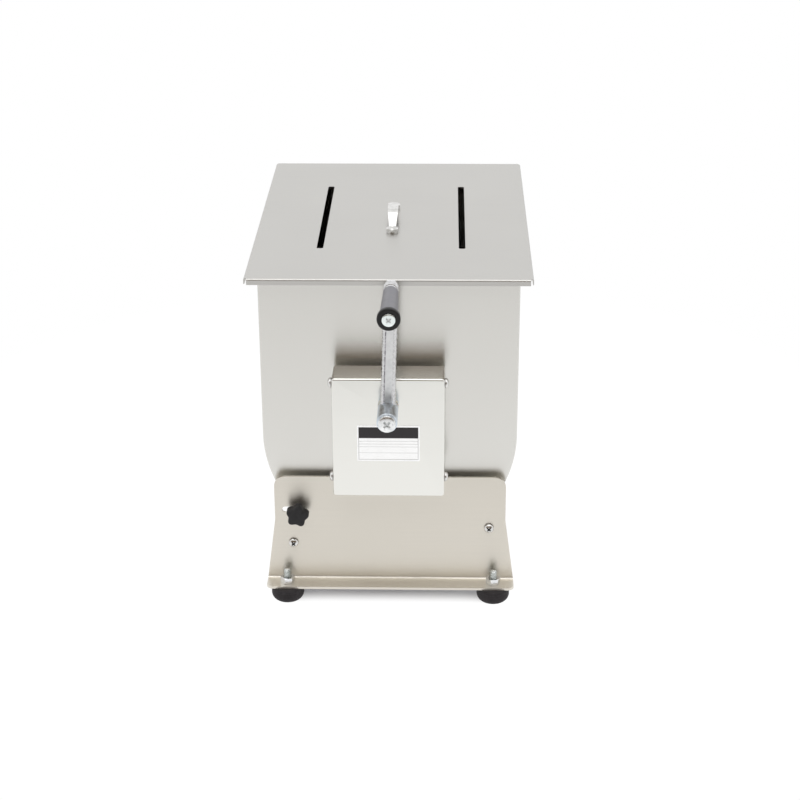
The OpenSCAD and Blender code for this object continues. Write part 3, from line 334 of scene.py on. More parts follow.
def pan_screw(thread, pitch, length, head_d, head_h, rim_share=0.28, recess_share=0.7):
    """A screw seated at zero: a domed head with a tapered cross recess, and a threaded shank below.
    The recess has the second finish, which is painted shade, and the head's rim has the third, which is a painted
    dark outline and reflection."""
    recess_shade_finish, rim_shade_finish = 1, 2
    rim, edge, shank_into_head, dome_steps = rim_share * head_h, 0.03 * head_d, 0.05 * head_h, 12
    angles = [math.radians(90 * k / dome_steps) for k in range(dome_steps + 1)]
    dome = [(head_d / 2 * math.cos(a), rim + (head_h - rim) * math.sin(a)) for a in angles]
    head = lathed([(0, 0), (head_d / 2 - edge, 0), (head_d / 2, edge)] + dome)
    for face in head.faces:
        if face.calc_center_median().z < rim:
            face.material_index = rim_shade_finish
    # The recess's length and width as shares of the head's width, at its floor and just above the head
    floor_shares, top_shares = (0.26, 0.1), (0.58, 0.15)
    floor_h, top_h = (1 - recess_share) * head_h, 1.1 * head_h
    for turn in (0, 90):
        wing = bmesh.new()
        bmesh.ops.create_cube(wing, size=1.0)
        for vert in wing.verts:
            deep = vert.co.z < 0
            length_share, width_share = floor_shares if deep else top_shares
            vert.co.x *= length_share * head_d
            vert.co.y *= width_share * head_d
            vert.co.z = floor_h if deep else top_h
        for face in wing.faces:
            face.material_index = recess_shade_finish
        quarter = Matrix.Rotation(math.radians(turn), 3, "Z")
        bmesh.ops.rotate(wing, verts=wing.verts, cent=(0, 0, 0), matrix=quarter)
        head = carved(head, wing)
    return joined(head, threaded(thread, pitch, -length, shank_into_head, steps=16))


def new_piece(name, shape, finishes, body, slot, *nodes, sharp=35):
    """A finished piece: smooth up to an angle, with its finishes, its body and the nodes it stands for."""
    mesh = as_mesh(shape)
    mesh.name = name
    mesh.shade_smooth()
    mesh.set_sharp_from_angle(angle=math.radians(sharp))
    for finish in finishes:
        mesh.materials.append(finish)
    piece = bpy.data.objects.new(name, mesh)
    scene.collection.objects.link(piece)
    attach(piece, body)
    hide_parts(*nodes)
    return piece


# Fine wear on small metal and plastic pieces: a soft patchy tone, specks, and a grain for the bump
surface_wear, wear_in, wear_out = new_group(
    "surface_wear", {"Place": "Vector", "Patches": "Float", "Grain": "Float"},
    {"Tone": "Float", "Specks": "Float", "Height": "Float"})
patch_noise = add_node(surface_wear, "TexNoise", Vector=wear_in.outputs["Place"],
                       Scale=wear_in.outputs["Patches"], Detail=3.0).outputs["Fac"]
grain_noise = add_node(surface_wear, "TexNoise", Vector=wear_in.outputs["Place"],
                       Scale=wear_in.outputs["Grain"], Detail=2.0).outputs["Fac"]
wear_tone = ranged(surface_wear, patch_noise, 0.0, 1.0, start=0.32, end=0.68)
wear_specks = ranged(surface_wear, grain_noise, 0.0, 1.0, start=0.6, end=0.72)
for effect, value in (("Tone", wear_tone), ("Specks", wear_specks), ("Height", grain_noise)):
    surface_wear.links.new(value, wear_out.inputs[effect])


def worn_finish(name, tints, roughness, patches, grain, bump, depth=0.05 * mm, **values):
    """A finish that goes between two tints and two roughnesses in patches, under a fine grain.
    patches and grain are their numbers to the metre."""
    speck_share, speck_shade = 0.35, 0.8
    material, tree, shader = new_material(name, **values)
    wear = placed_group(tree, surface_wear, Place=object_place(tree), Patches=patches, Grain=grain)
    toned = mixed(tree, wear.outputs["Tone"], shade(tints[0]), shade(tints[1]))
    specks = reckoned(tree, "MULTIPLY", wear.outputs["Specks"], speck_share)
    speckled = mixed(tree, specks, toned, shade(tints[0], speck_shade))
    link_looks(tree, shader, speckled, wear.outputs["Tone"], roughness,
               height=wear.outputs["Height"], strength=bump, depth=depth)
    return material


bright_steel = worn_finish(
    "bright_steel", tints=((0.66, 0.655, 0.64), (0.8, 0.795, 0.78)), roughness=(0.16, 0.26),
    patches=180, grain=1400, bump=0.08, Metallic=1.0)
# Painted shade: a near-black copy of the steel in the screws' cross recesses, where shade falls.
recess_painted_shade = worn_finish(
    "recess_painted_shade", tints=((0.035, 0.033, 0.03), (0.07, 0.067, 0.062)), roughness=(0.5, 0.65),
    patches=300, grain=1400, bump=0.1, Metallic=0.5)
# Painted shade: a dark copy of the steel on the screw heads' rims, which gives a dark outline and a dark
# reflection.
screw_rim_painted_shade = worn_finish(
    "screw_rim_painted_shade", tints=((0.12, 0.115, 0.11), (0.2, 0.195, 0.19)), roughness=(0.3, 0.4),
    patches=300, grain=1400, bump=0.1, Metallic=1.0)
m5_thread, m5_pitch = 5 * mm, 0.8 * mm
rod_screw_len, pan_d, pan_h = 16 * mm, 10 * mm, 4 * mm
rod_screw_turns = (40, 48)
rod_axes = [(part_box(node)[0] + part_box(node)[1]) / 2 for node in ("left_tie_rod", "right_tie_rod")]
rod_screw_places = [facing((axis.x, y, axis.z), way, turn)
                    for axis, turn in zip(rod_axes, rod_screw_turns)
                    for y, way in ((plate_front, FRONT), (plate_rear, REAR))]
rod_screw = pan_screw(m5_thread, m5_pitch, rod_screw_len, pan_d, pan_h)
new_piece("rod_screws", repeated(rod_screw, rod_screw_places),
          (bright_steel, recess_painted_shade, screw_rim_painted_shade), "stand", "bright_screws", "tie_rod_screws")

# Feet. Four moulded rubber bowls with a threaded stud set into each. The stud comes up through the
# flange, and a plain hexagon nut clamps the foot there. Studs and nuts are zinc plated.
foot_places = [Matrix.Translation(mount["pos_m"]) for mount in frame["record"]["mounts"]]
foot_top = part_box("rubber_feet")[1].z
foot_r, foot_round, sole_r, sole_gap = 17 * mm, 8 * mm, 6 * mm, 0.7 * mm
rim_r, rim_h, rim_step, bowl_set = 0.8 * mm, 3.4 * mm, 0.5 * mm, 0.3 * mm
m8_thread, m8_pitch, m8_flats, m8_bore = 8 * mm, 1.25 * mm, 13 * mm, 8.1 * mm
stud_low, stud_high = (corner.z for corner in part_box("foot_studs"))
stud_lead, foot_nut_turn = 1.4 * mm, 12
foot_outline = (
    [(0, stud_low), (m8_thread / 2, stud_low), (m8_thread / 2, foot_top)]
    + arc((foot_r - rim_r, foot_top - rim_r), rim_r, 90, 0, 4)
    + [(foot_r, foot_top - rim_h), (foot_r - rim_step, foot_top - rim_h - rim_step)]
    + arc((foot_r - bowl_set - foot_round, foot_round), foot_round, 0, -90, 10)
    + [(sole_r + sole_gap, 0), (sole_r, sole_gap), (0, sole_gap)])
foot_rubber = worn_finish(
    "foot_rubber", tints=((0.022, 0.019, 0.0205), (0.038, 0.034, 0.0365)), roughness=(0.6, 0.75),
    patches=160, grain=2200, bump=0.25, Specular_IOR_Level=0.25)
new_piece("rubber_bowls", repeated(lathed(foot_outline, 64), foot_places),
          (foot_rubber,), "stand", "foot_rubber", "rubber_feet")

zinc = worn_finish(
    "zinc", tints=((0.74, 0.75, 0.765), (0.86, 0.865, 0.87)), roughness=(0.14, 0.22),
    patches=240, grain=900, bump=0.12, Metallic=1.0)
# Painted shade: the studs get a darker copy of the zinc, which stands in for the shade and the dull reflections on
# them.
thread_zinc_painted_shade = worn_finish(
    "thread_zinc_painted_shade", tints=((0.46, 0.48, 0.465), (0.66, 0.68, 0.665)), roughness=(0.2, 0.3),
    patches=240, grain=900, bump=0.12, Metallic=1.0)
foot_stud = threaded(m8_thread, m8_pitch, stud_low, stud_high, stud_lead)
new_piece("foot_threads", repeated(foot_stud, foot_places),
          (thread_zinc_painted_shade,), "stand", "zinc_plate", "foot_studs", sharp=50)


def hex_nut(flats, height, bore):
    """A hexagon nut about Z on its lower face, with a corner along X: a turned ring, cut by six planes."""
    half_side, chamfer = math.radians(30), math.radians(30)
    corner, hole = flats / 2 / math.cos(half_side), bore / 2
    face_r, sink = 0.95 * flats / 2, 0.05 * flats
    rim = (corner - face_r) * math.tan(chamfer)
    nut = lathed([(hole, sink), (hole + sink, 0), (face_r, 0), (corner, rim), (corner, height - rim),
                  (face_r, height), (hole + sink, height), (hole, height - sink), (hole, sink)], 72)
    for side in range(6):
        angle = math.radians(30 + 60 * side)
        flat = Vector((math.cos(angle), math.sin(angle), 0))
        cut = bmesh.ops.bisect_plane(nut, geom=nut.verts[:] + nut.edges[:] + nut.faces[:], dist=cut_gap,
                                     plane_co=flat * flats / 2, plane_no=flat, clear_outer=True)
        edges = [each for each in cut["geom_cut"] if isinstance(each, bmesh.types.BMEdge)]
        bmesh.ops.holes_fill(nut, edges=[edge for edge in edges if edge.is_boundary], sides=0)
    bmesh.ops.recalc_face_normals(nut, faces=nut.faces)
    return nut


nut_low, nut_high = (corner.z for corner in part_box("foot_nuts"))
foot_nut_places = [Matrix.Translation((*foot.translation.xy, nut_low))
                   @ Matrix.Rotation(math.radians(foot_nut_turn), 4, "Z") for foot in foot_places]
new_piece("foot_hex_nuts", repeated(hex_nut(m8_flats, nut_high - nut_low, m8_bore), foot_nut_places),
          (zinc,), "stand", "zinc_plate", "foot_nuts", sharp=20)

# Gear cover. A box folded from thin stainless sheet, with soft folds round its front and its seams at the
# corners. Four side screws fix it to two angle brackets on the plate, and it has a hole for the crank's bush.
cover_sheet, cover_corner, cover_fold = 1.2 * mm, 3 * mm, 2 * mm
cover_low, cover_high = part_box("gear_cover")
bush_low, bush_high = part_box("crank_front_bush")
crank_axis = (bush_low + bush_high) / 2
bush_hole_d, side_hole_d, punch_half, flush = 20.2 * mm, 5.4 * mm, 4 * mm, 0.01 * mm


def block(low, high):
    """A plain block between two corners."""
    shape = bmesh.new()
    bmesh.ops.create_cube(shape, size=1.0, matrix=Matrix.Translation((low + high) / 2)
                          @ Matrix.Diagonal((*(high - low), 1)))
    return shape


def round_edges(shape, edges, radius, segments):
    """Rounds some edges of a shape, each in a number of steps."""
    bmesh.ops.bevel(shape, geom=edges, offset=radius, offset_type="OFFSET", affect="EDGES",
                    segments=segments, profile=0.5, material=-1)


def pin(radius, low, high, steps=48):
    """A plain round pin about Z, which serves as a punch or a drill."""
    return lathed([(0, low), (radius, low), (radius, high), (0, high)], steps)


cover = block(cover_low, cover_high)
open_back = [face for face in cover.faces if face.normal.y > 0.9]
bmesh.ops.delete(cover, geom=open_back, context="FACES")
corner_edges = [edge for edge in cover.edges if abs(edge.verts[0].co.y - edge.verts[1].co.y) > cover_corner]
round_edges(cover, corner_edges, cover_corner, 6)
front_edges = [edge for edge in cover.edges if all(vert.co.y < cover_low.y + flush for vert in edge.verts)]
round_edges(cover, front_edges, cover_fold, 5)
bmesh.ops.recalc_face_normals(cover, faces=cover.faces)
bmesh.ops.solidify(cover, geom=cover.faces[:], thickness=cover_sheet)
screw_low, screw_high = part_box("gear_cover_screws")
cover_screw_y = (screw_low.y + screw_high.y) / 2
cover_screw_heights = (screw_low.z + pan_d / 2, screw_high.z - pan_d / 2)
side_ways = ((cover_low.x, LEFT), (cover_high.x, RIGHT))
wider = bush_hole_d / side_hole_d
punch_places = [facing((x, cover_screw_y, z), way) for x, way in side_ways for z in cover_screw_heights]
punch_places += [facing((0, cover_low.y, crank_axis.z), FRONT) @ Matrix.Diagonal((wider, wider, 1, 1))]
cover = carved(cover, repeated(pin(side_hole_d / 2, -punch_half, punch_half, 32), punch_places))
cover_steel = brushed_steel("cover_steel", tint=(0.817, 0.812, 0.774), across=upright_across,
                            roughness=(0.145, 0.195), stretch=0.4, contrast=0.012)
new_piece("folded_cover", cover, (cover_steel,), "stand", "stainless_sheet", "gear_cover", sharp=30)
dress(stand_steel, "left_cover_bracket", "right_cover_bracket")

# Painted shade: a darker copy of the steel on the cover screw heads' rims, which gives a dark outline and a dark
# reflection.
cover_rim_painted_shade = worn_finish(
    "cover_rim_painted_shade", tints=((0.44, 0.43, 0.42), (0.56, 0.55, 0.54)), roughness=(0.3, 0.4),
    patches=300, grain=1400, bump=0.1, Metallic=1.0)
cover_screw_len, cover_screw_turns = 8 * mm, (20, 65)
cover_screw_places = [facing((x, cover_screw_y, z), way, turn)
                      for (x, way), turn in zip(side_ways, cover_screw_turns) for z in cover_screw_heights]
cover_screw = pan_screw(m5_thread, m5_pitch, cover_screw_len, pan_d, pan_h)
new_piece("cover_screws", repeated(cover_screw, cover_screw_places),
          (bright_steel, recess_painted_shade, cover_rim_painted_shade), "stand", "bright_screws", "gear_cover_screws")

# Label. A thin film of silvery white polyester stuck to the cover. It is left blank, with a plain black band,
# a fine frame and a few ruled lines where a rating label has its words.
label_low, label_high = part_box("blank_label")
label_w, label_h = label_high.x - label_low.x, label_high.z - label_low.z
label_middle = (label_low + label_high) / 2
label_round, line_w, frame_inset, frame_top, band_end = 1 * mm, 0.35 * mm, 1.5 * mm, 2.1 * mm, 13.9 * mm
ruled_rows = (17 * mm, 20 * mm, 23 * mm, 29.5 * mm)
film_white, band_black = (0.985, 0.985, 0.98), (0.038, 0.035, 0.036)
frame_grey, frame_ink = (0.1, 0.1, 0.1), 0.9
ruled_grey, ruled_ink = (0.2, 0.2, 0.2), 0.55
label = block(label_low, label_high)
label_corners = [edge for edge in label.edges if edge.verts[0].co.xz == edge.verts[1].co.xz]
round_edges(label, label_corners, label_round, 4)


def within(tree, value, low, high):
    """A mask that is 1 between two values."""
    return reckoned(tree, "MULTIPLY", reckoned(tree, "GREATER_THAN", value, low),
                    reckoned(tree, "LESS_THAN", value, high))


def in_label_frame(tree, from_middle, from_top, inset):
    """A mask that is 1 inside of the label's frame, drawn in by an inset."""
    in_width = reckoned(tree, "LESS_THAN", from_middle, label_w / 2 - frame_inset - inset)
    in_height = within(tree, from_top, frame_top + inset, label_h - frame_inset - inset)
    return reckoned(tree, "MULTIPLY", in_width, in_height)


def printed_film(name):
    """White film with its print: a frame, ruled lines inside of it, and a black band at the top."""
    material, tree, shader = new_material(name, Metallic=0.85, Coat_Weight=0.15, Coat_Roughness=0.2)
    place = add_node(tree, "TexCoord").outputs["Object"]
    parts = add_node(tree, "SeparateXYZ", Vector=place)
    from_middle = reckoned(tree, "ABSOLUTE", reckoned(tree, "SUBTRACT", parts.outputs["X"], label_middle.x))
    from_top = reckoned(tree, "SUBTRACT", label_high.z, parts.outputs["Z"])
    in_frame = in_label_frame(tree, from_middle, from_top, 0)
    in_line = in_label_frame(tree, from_middle, from_top, line_w)
    frame_mask = reckoned(tree, "MULTIPLY", reckoned(tree, "SUBTRACT", in_frame, in_line), frame_ink)
    printed = mixed(tree, frame_mask, shade(film_white), shade(frame_grey))
    for row in ruled_rows:
        ruled = reckoned(tree, "MULTIPLY", in_line, within(tree, from_top, row, row + line_w))
        printed = mixed(tree, reckoned(tree, "MULTIPLY", ruled, ruled_ink), printed, shade(ruled_grey))
    in_band = reckoned(tree, "MULTIPLY", in_frame, reckoned(tree, "LESS_THAN", from_top, band_end))
    banded = mixed(tree, in_band, printed, shade(band_black))
    wear = placed_group(tree, surface_wear, Place=place, Patches=90.0, Grain=700.0)
    link_looks(tree, shader, banded, wear.outputs["Tone"], roughness=(0.2, 0.26),
               height=wear.outputs["Height"], strength=0.05, depth=0.03 * mm)
    return material


new_piece("label", label, (printed_film("label_film"),), "stand", "label_film", "blank_label")

# Bushes. Turned nylon rings, pressed into the plates, the cover and the tank's trunnions, in which the
# tank tilts and the two shafts turn.
nylon = worn_finish(
    "nylon", tints=((0.72, 0.69, 0.62), (0.8, 0.78, 0.72)), roughness=(0.42, 0.55),
    patches=120, grain=1200, bump=0.1, Subsurface_Weight=0.15, Subsurface_Scale=2 * mm)
dress(nylon, "front_trunnion_bush", "rear_trunnion_bush", "crank_rear_bush", "crank_front_bush",
      "front_shaft_bush", "rear_shaft_bush")

# Tank. A trough rolled from stainless sheet between two end walls, with a turned-out rim on top. Flanged
# trunnions are welded to the end walls, and rubber seals keep the mixing shaft's holes tight.
tank_tint = (0.772, 0.764, 0.731)
wall_steel = brushed_steel("wall_steel", tank_tint, across=upright_across, roughness=(0.269, 0.271),
                           stretch=0.88, contrast=0.011, relief=0.003)
trough_steel = brushed_steel("trough_steel", tank_tint, across=(0.2, 0, 1), roughness=(0.23, 0.25),
                             turn=math.pi / 2, contrast=0.016)
dress(wall_steel, "tank_front_wall", "tank_rear_wall")
dress(trough_steel, "tank_trough")
dress(shaft_steel, "front_trunnion", "rear_trunnion")
dress(foot_rubber, "front_shaft_seal", "rear_shaft_seal")

# Lid. One stainless sheet with four lips folded down over the tank's rim and two long slots. Its corners are
# notched, so that the lips meet without a weld.
flat_across = (0, 1, 0.15)
lid_steel = brushed_steel("lid_steel", tint=(0.605, 0.596, 0.573), across=flat_across, roughness=(0.3, 0.34))
dress(lid_steel, "lid_panel")

# Lid handle. A bright steel strap with round feet, bent up in two slopes and screwed to the lid from below,
# with a thin hexagon nut on each foot.
handle_low, handle_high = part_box("lid_handle")
strap_t, foot_disc_r, strap_neck, strap_wide = 1.6 * mm, 5 * mm, 3.25 * mm, 5.5 * mm
top_half, heel_set, strap_bend, strap_soft = 12.5 * mm, 7 * mm, 4 * mm, 0.35 * mm
handle_mid = (handle_low.y + handle_high.y) / 2
handle_half = (handle_high.y - handle_low.y) / 2
heel_at = handle_half - foot_disc_r - heel_set
disc_angles = [math.radians(a) for a in (12, 30, 50, 70, 90, 110, 130, 142)]
half_strap = [(handle_half - foot_disc_r * (1 - math.cos(a)), foot_disc_r * math.sin(a), 0)
              for a in disc_angles]
half_strap += [(heel_at, strap_neck, 0), (top_half, strap_wide, handle_high.z - handle_low.z - strap_t)]
strap = bmesh.new()
strap_rows = [[strap.verts.new((side * half, handle_mid + y, handle_low.z + z)) for side in (-1, 1)]
              for y, half, z in [(-y, half, z) for y, half, z in half_strap] + half_strap[::-1]]
for (left, right), (next_left, next_right) in zip(strap_rows, strap_rows[1:]):
    strap.faces.new((left, right, next_right, next_left))
strap.normal_update()
bends = [edge for edge in strap.edges
         if len(edge.link_faces) == 2 and edge.calc_face_angle() > math.radians(10)]
round_edges(strap, bends, strap_bend, 6)
bmesh.ops.recalc_face_normals(strap, faces=strap.faces)
if sum(face.normal.z for face in strap.faces) > 0:
    bmesh.ops.reverse_faces(strap, faces=strap.faces)
bmesh.ops.solidify(strap, geom=strap.faces[:], thickness=strap_t)
strap_piece = new_piece("lid_strap", strap, (bright_steel,), "lid", "bright_screws", "lid_handle", sharp=40)
strap_edge = strap_piece.modifiers.new("soft_edges", "BEVEL")
strap_edge.width = strap_soft
strap_edge.segments = 2
strap_edge.limit_method = "ANGLE"
strap_edge.angle_limit = math.radians(50)

m6_thread, m6_pitch, m6_flats, m6_bore = 6 * mm, 1 * mm, 10 * mm, 6.1 * mm
strap_nut_flats, strap_nut_turn = 12 * mm, 30
strap_nut_low, strap_nut_high = (corner.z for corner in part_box("lid_handle_nuts"))
strap_feet = [handle_low.y + foot_disc_r, handle_high.y - foot_disc_r]
new_piece("strap_nuts", repeated(hex_nut(strap_nut_flats, strap_nut_high - strap_nut_low, m6_bore),
                                 [facing((0, y, strap_nut_low), UP, strap_nut_turn) for y in strap_feet]),
          (bright_steel,), "lid", "bright_screws", "lid_handle_nuts", sharp=20)
head_low, thread_high = (corner.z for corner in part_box("lid_handle_screws"))
strap_head_r, strap_head_h, strap_head_round, strap_lead = 6 * mm, 2.5 * mm, 0.8 * mm, 0.5 * mm
strap_head = lathed([(0, 0), (strap_head_r - strap_head_round, 0)]
                    + arc((strap_head_r - strap_head_round, strap_head_round), strap_head_round, -90, 0, 4)
                    + [(strap_head_r, strap_head_h), (0, strap_head_h)])
strap_thread = threaded(m6_thread, m6_pitch, 0.9 * strap_head_h, thread_high - head_low, strap_lead)
strap_screw_places = [facing((0, y, head_low), UP) for y in strap_feet]
new_piece("strap_screws", repeated(joined(strap_head, strap_thread), strap_screw_places),
          (bright_steel,), "lid", "bright_screws", "lid_handle_screws")

# Mixing shaft. A turned bar through the tank with four arms, each with a pitched blade welded on. The driven
# gear sits keyed on its front end, and washers and nuts hold it at both ends.
paddle_steel = brushed_steel("paddle_steel", tint=(0.63, 0.63, 0.62), across=flat_across,
                             roughness=(0.26, 0.32))
dress(shaft_steel, "paddle_shaft", "paddle_arms", "crank_shaft")
dress(paddle_steel, "paddle_blades")
dress(zinc, "shaft_washers")
shaft_nut_bore = 10.1 * mm
washer_front, washer_rear = (corner.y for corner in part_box("shaft_washers"))
shaft_nut_low, shaft_nut_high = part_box("shaft_nuts")
shaft_z = (shaft_nut_low.z + shaft_nut_high.z) / 2
shaft_nut = hex_nut(shaft_nut_high.z - shaft_nut_low.z, washer_front - shaft_nut_low.y, shaft_nut_bore)
shaft_nut_places = [facing((0, washer_front, shaft_z), FRONT), facing((0, washer_rear, shaft_z), REAR)]
new_piece("shaft_hex_nuts", repeated(shaft_nut, shaft_nut_places),
          (zinc,), "mixing_shaft", "zinc_plate", "shaft_nuts", sharp=20)
gear_steel = worn_finish(
    "gear_steel", tints=((0.16, 0.155, 0.15), (0.3, 0.295, 0.285)), roughness=(0.22, 0.42),
    patches=140, grain=800, bump=0.12, Metallic=1.0)
dress(gear_steel, "driven_gear", "gear_key", "pinion_gear", "pinion_pin", "crank_circlip")

# Crank. A round hub with a flat bevelled arm forged to it, zinc plated. A large pan head screw holds the hub
# on its shaft, and a bolt with a nut behind the arm carries the grip.
hub_low, hub_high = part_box("crank_hub")
arm_low, arm_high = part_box("crank_arm")
joint_places = {joint["name"]: Vector(joint["pos_m"]) for joint in frame["joints"] if "pos_m" in joint}
crank_at, grip_at = joint_places["crank_spin"], joint_places["grip_spin"]
arm_len = (grip_at - crank_at).length
arm_lean = math.degrees(math.atan2(grip_at.x - crank_at.x, grip_at.z - crank_at.z))
hub_r, hub_edge, hub_seat, hub_bore, hub_hole = 10 * mm, 1.2 * mm, 22 * mm, 12.1 * mm, 6.4 * mm
hub_len = hub_high.y - hub_low.y
hub = lathed([(hub_bore / 2, 0), (hub_r - hub_edge, 0)]
             + arc((hub_r - hub_edge, hub_edge), hub_edge, -90, 0, 4)
             + arc((hub_r - hub_edge, hub_len - hub_edge), hub_edge, 0, 90, 4)
             + [(hub_hole / 2, hub_len), (hub_hole / 2, hub_seat), (hub_bore / 2, hub_seat),
                (hub_bore / 2, 0)])
cast_zinc = worn_finish(
    "cast_zinc", tints=((0.72, 0.735, 0.74), (0.94, 0.95, 0.95)), roughness=(0.2, 0.3),
    patches=330, grain=420, bump=0.4, depth=0.2 * mm, Metallic=1.0)
# Painted shade: a darker copy of the zinc in the cross recesses of the hub screw and the grip bolt.
zinc_recess_painted_shade = worn_finish(
    "zinc_recess_painted_shade", tints=((0.5, 0.515, 0.515), (0.76, 0.78, 0.78)), roughness=(0.3, 0.45),
    patches=300, grain=900, bump=0.2, Metallic=1.0)
hub_zinc = worn_finish(
    "hub_zinc", tints=((0.6, 0.665, 0.73), (0.8, 0.87, 0.94)), roughness=(0.32, 0.42),
    patches=330, grain=420, bump=0.12, depth=0.2 * mm, Metallic=1.0)
new_piece("hub", repeated(hub, [facing((crank_at.x, hub_high.y, crank_at.z), FRONT)]),
          (hub_zinc,), "crank", "zinc_plate", "crank_hub")
hub_head_d, hub_head_h, hub_screw_len, recess_turn = 17 * mm, 4 * mm, 20 * mm, 45
hub_screw = pan_screw(m6_thread, m6_pitch, hub_screw_len, hub_head_d, hub_head_h,
                      rim_share=0.6, recess_share=0.4)
hub_screw_place = facing((crank_at.x, hub_low.y, crank_at.z), FRONT, recess_turn)
new_piece("hub_pan_screw", repeated(hub_screw, [hub_screw_place]),
          (cast_zinc, zinc_recess_painted_shade, cast_zinc), "crank", "zinc_plate", "hub_screw")

# The arm's root runs into the hub and is cut off round it. Its flat face stands in a fine groove. The groove's
# left side is painted dark in patches as painted shade, and its right side takes the bevels' finish.
arm_hub_half, arm_tip_half, arm_bevel, arm_root = 7.35 * mm, 7.1 * mm, 2.8 * mm, 2 * mm
eye_r, groove_w, groove_deep = 7.5 * mm, 0.7 * mm, 0.25 * mm
bevel_shaded_finish, flat_lit_finish, groove_shade_finish = 0, 1, 2
arm_t = arm_high.y - arm_low.y
eye_angle = math.degrees(math.acos(arm_tip_half / eye_r))
arm_outline = ([(-arm_hub_half, arm_root), (arm_hub_half, arm_root)]
               + arc((0, arm_len), eye_r, -eye_angle, 180 + eye_angle, 28))


def pull_out(shape, face, way):
    """Pulls a flat face out along a way, which makes it a solid."""
    grown = bmesh.ops.extrude_face_region(shape, geom=[face])
    far_verts = [each for each in grown["geom"] if isinstance(each, bmesh.types.BMVert)]
    bmesh.ops.translate(shape, verts=far_verts, vec=way)
    bmesh.ops.recalc_face_normals(shape, faces=shape.faces)


arm = bmesh.new()
arm_back = arm.faces.new([arm.verts.new((x, 0, z)) for x, z in arm_outline])
pull_out(arm, arm_back, (0, -arm_t, 0))
arm_edges = [edge for edge in arm.edges if all(vert.co.y < -arm_t / 2 for vert in edge.verts)]
round_edges(arm, arm_edges, arm_bevel, 2)
flat_faces = [face for face in arm.faces
              if face.normal.y < -0.99 and face.calc_center_median().y < -0.9 * arm_t]
for width, depth in ((groove_w, -groove_deep), (groove_w / 2, groove_deep)):
    groove = bmesh.ops.inset_region(arm, faces=flat_faces, thickness=width, depth=depth, use_even_offset=True)
    for face in groove["faces"]:
        face.material_index = groove_shade_finish
for face in flat_faces:
    face.material_index = flat_lit_finish
for face in arm.faces:
    if face.material_index == groove_shade_finish and face.calc_center_median().x > 0:
        face.material_index = bevel_shaded_finish
for cut_r, cut_z in ((m8_bore / 2, arm_len), (hub_r, 0)):
    arm = carved(arm, repeated(pin(cut_r, -arm_t, 2 * arm_t), [facing((0, 0, cut_z), FRONT)]))
arm_place = (Matrix.Translation((crank_at.x, arm_high.y, crank_at.z))
             @ Matrix.Rotation(math.radians(arm_lean), 4, "Y"))
# Lit and shaded copies of one zinc: the bevels are painted darker as painted shade, and the flat face lighter as
# painted light.
arm_bevels_painted_shade = worn_finish(
    "arm_bevels_painted_shade", tints=((0.56, 0.56, 0.565), (0.72, 0.72, 0.725)), roughness=(0.22, 0.32),
    patches=300, grain=900, bump=0.2, Metallic=1.0)
arm_flat_painted_light = worn_finish(
    "arm_flat_painted_light", tints=((0.66, 0.665, 0.67), (0.8, 0.805, 0.81)), roughness=(0.3, 0.42),
    patches=160, grain=700, bump=0.3, Metallic=1.0)
# Painted shade: a dark, patchy copy of the zinc in the groove's left side, where shade falls in the crease.
arm_groove_painted_shade = worn_finish(
    "arm_groove_painted_shade", tints=((0.13, 0.12, 0.14), (0.66, 0.65, 0.68)), roughness=(0.4, 0.55),
    patches=420, grain=900, bump=0.3, Metallic=1.0)
new_piece("bevelled_arm", repeated(arm, [arm_place]),
          (arm_bevels_painted_shade, arm_flat_painted_light, arm_groove_painted_shade), "crank", "zinc_plate", "crank_arm", sharp=25)

bolt_zinc = worn_finish(
    "bolt_zinc", tints=((0.82, 0.88, 0.87), (0.92, 0.97, 0.96)), roughness=(0.14, 0.22),
    patches=240, grain=900, bump=0.12, Metallic=1.0)
bolt_head_d, bolt_head_h, bolt_out = 12.4 * mm, 5 * mm, 1.5 * mm
grip_low, grip_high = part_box("crank_grip")
bolt_seat = grip_low.y - bolt_out + bolt_head_h
bolt_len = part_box("grip_bolt")[1].y - bolt_seat
grip_bolt = pan_screw(m8_thread, m8_pitch, bolt_len, bolt_head_d, bolt_head_h,
                      rim_share=0.86, recess_share=0.2)
grip_bolt_place = facing((grip_at.x, bolt_seat, grip_at.z), FRONT, recess_turn)
new_piece("grip_pan_bolt", repeated(grip_bolt, [grip_bolt_place]),
          (bolt_zinc, zinc_recess_painted_shade, bolt_zinc), "crank", "zinc_plate", "grip_bolt")
spacer_low, spacer_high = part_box("grip_spacer")
spacer_r, spacer_t, spacer_soft = 6.5 * mm, spacer_high.y - spacer_low.y, 0.5 * mm
spacer = lathed([(m8_bore / 2, 0), (spacer_r - spacer_soft, 0), (spacer_r, spacer_soft),
                 (spacer_r, spacer_t - spacer_soft), (spacer_r - spacer_soft, spacer_t),
                 (m8_bore / 2, spacer_t), (m8_bore / 2, 0)])
new_piece("spacer_ring", repeated(spacer, [facing((grip_at.x, spacer_high.y, grip_at.z), FRONT)]),
          (zinc,), "crank", "zinc_plate", "grip_spacer")
grip_nut_low, grip_nut_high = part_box("grip_nut")
new_piece("grip_hex_nut", repeated(hex_nut(m8_flats, grip_nut_high.y - grip_nut_low.y, m8_bore),
                                   [facing((grip_at.x, grip_nut_low.y, grip_at.z), REAR, arm_lean)]),
          (zinc,), "crank", "zinc_plate", "grip_nut", sharp=20)

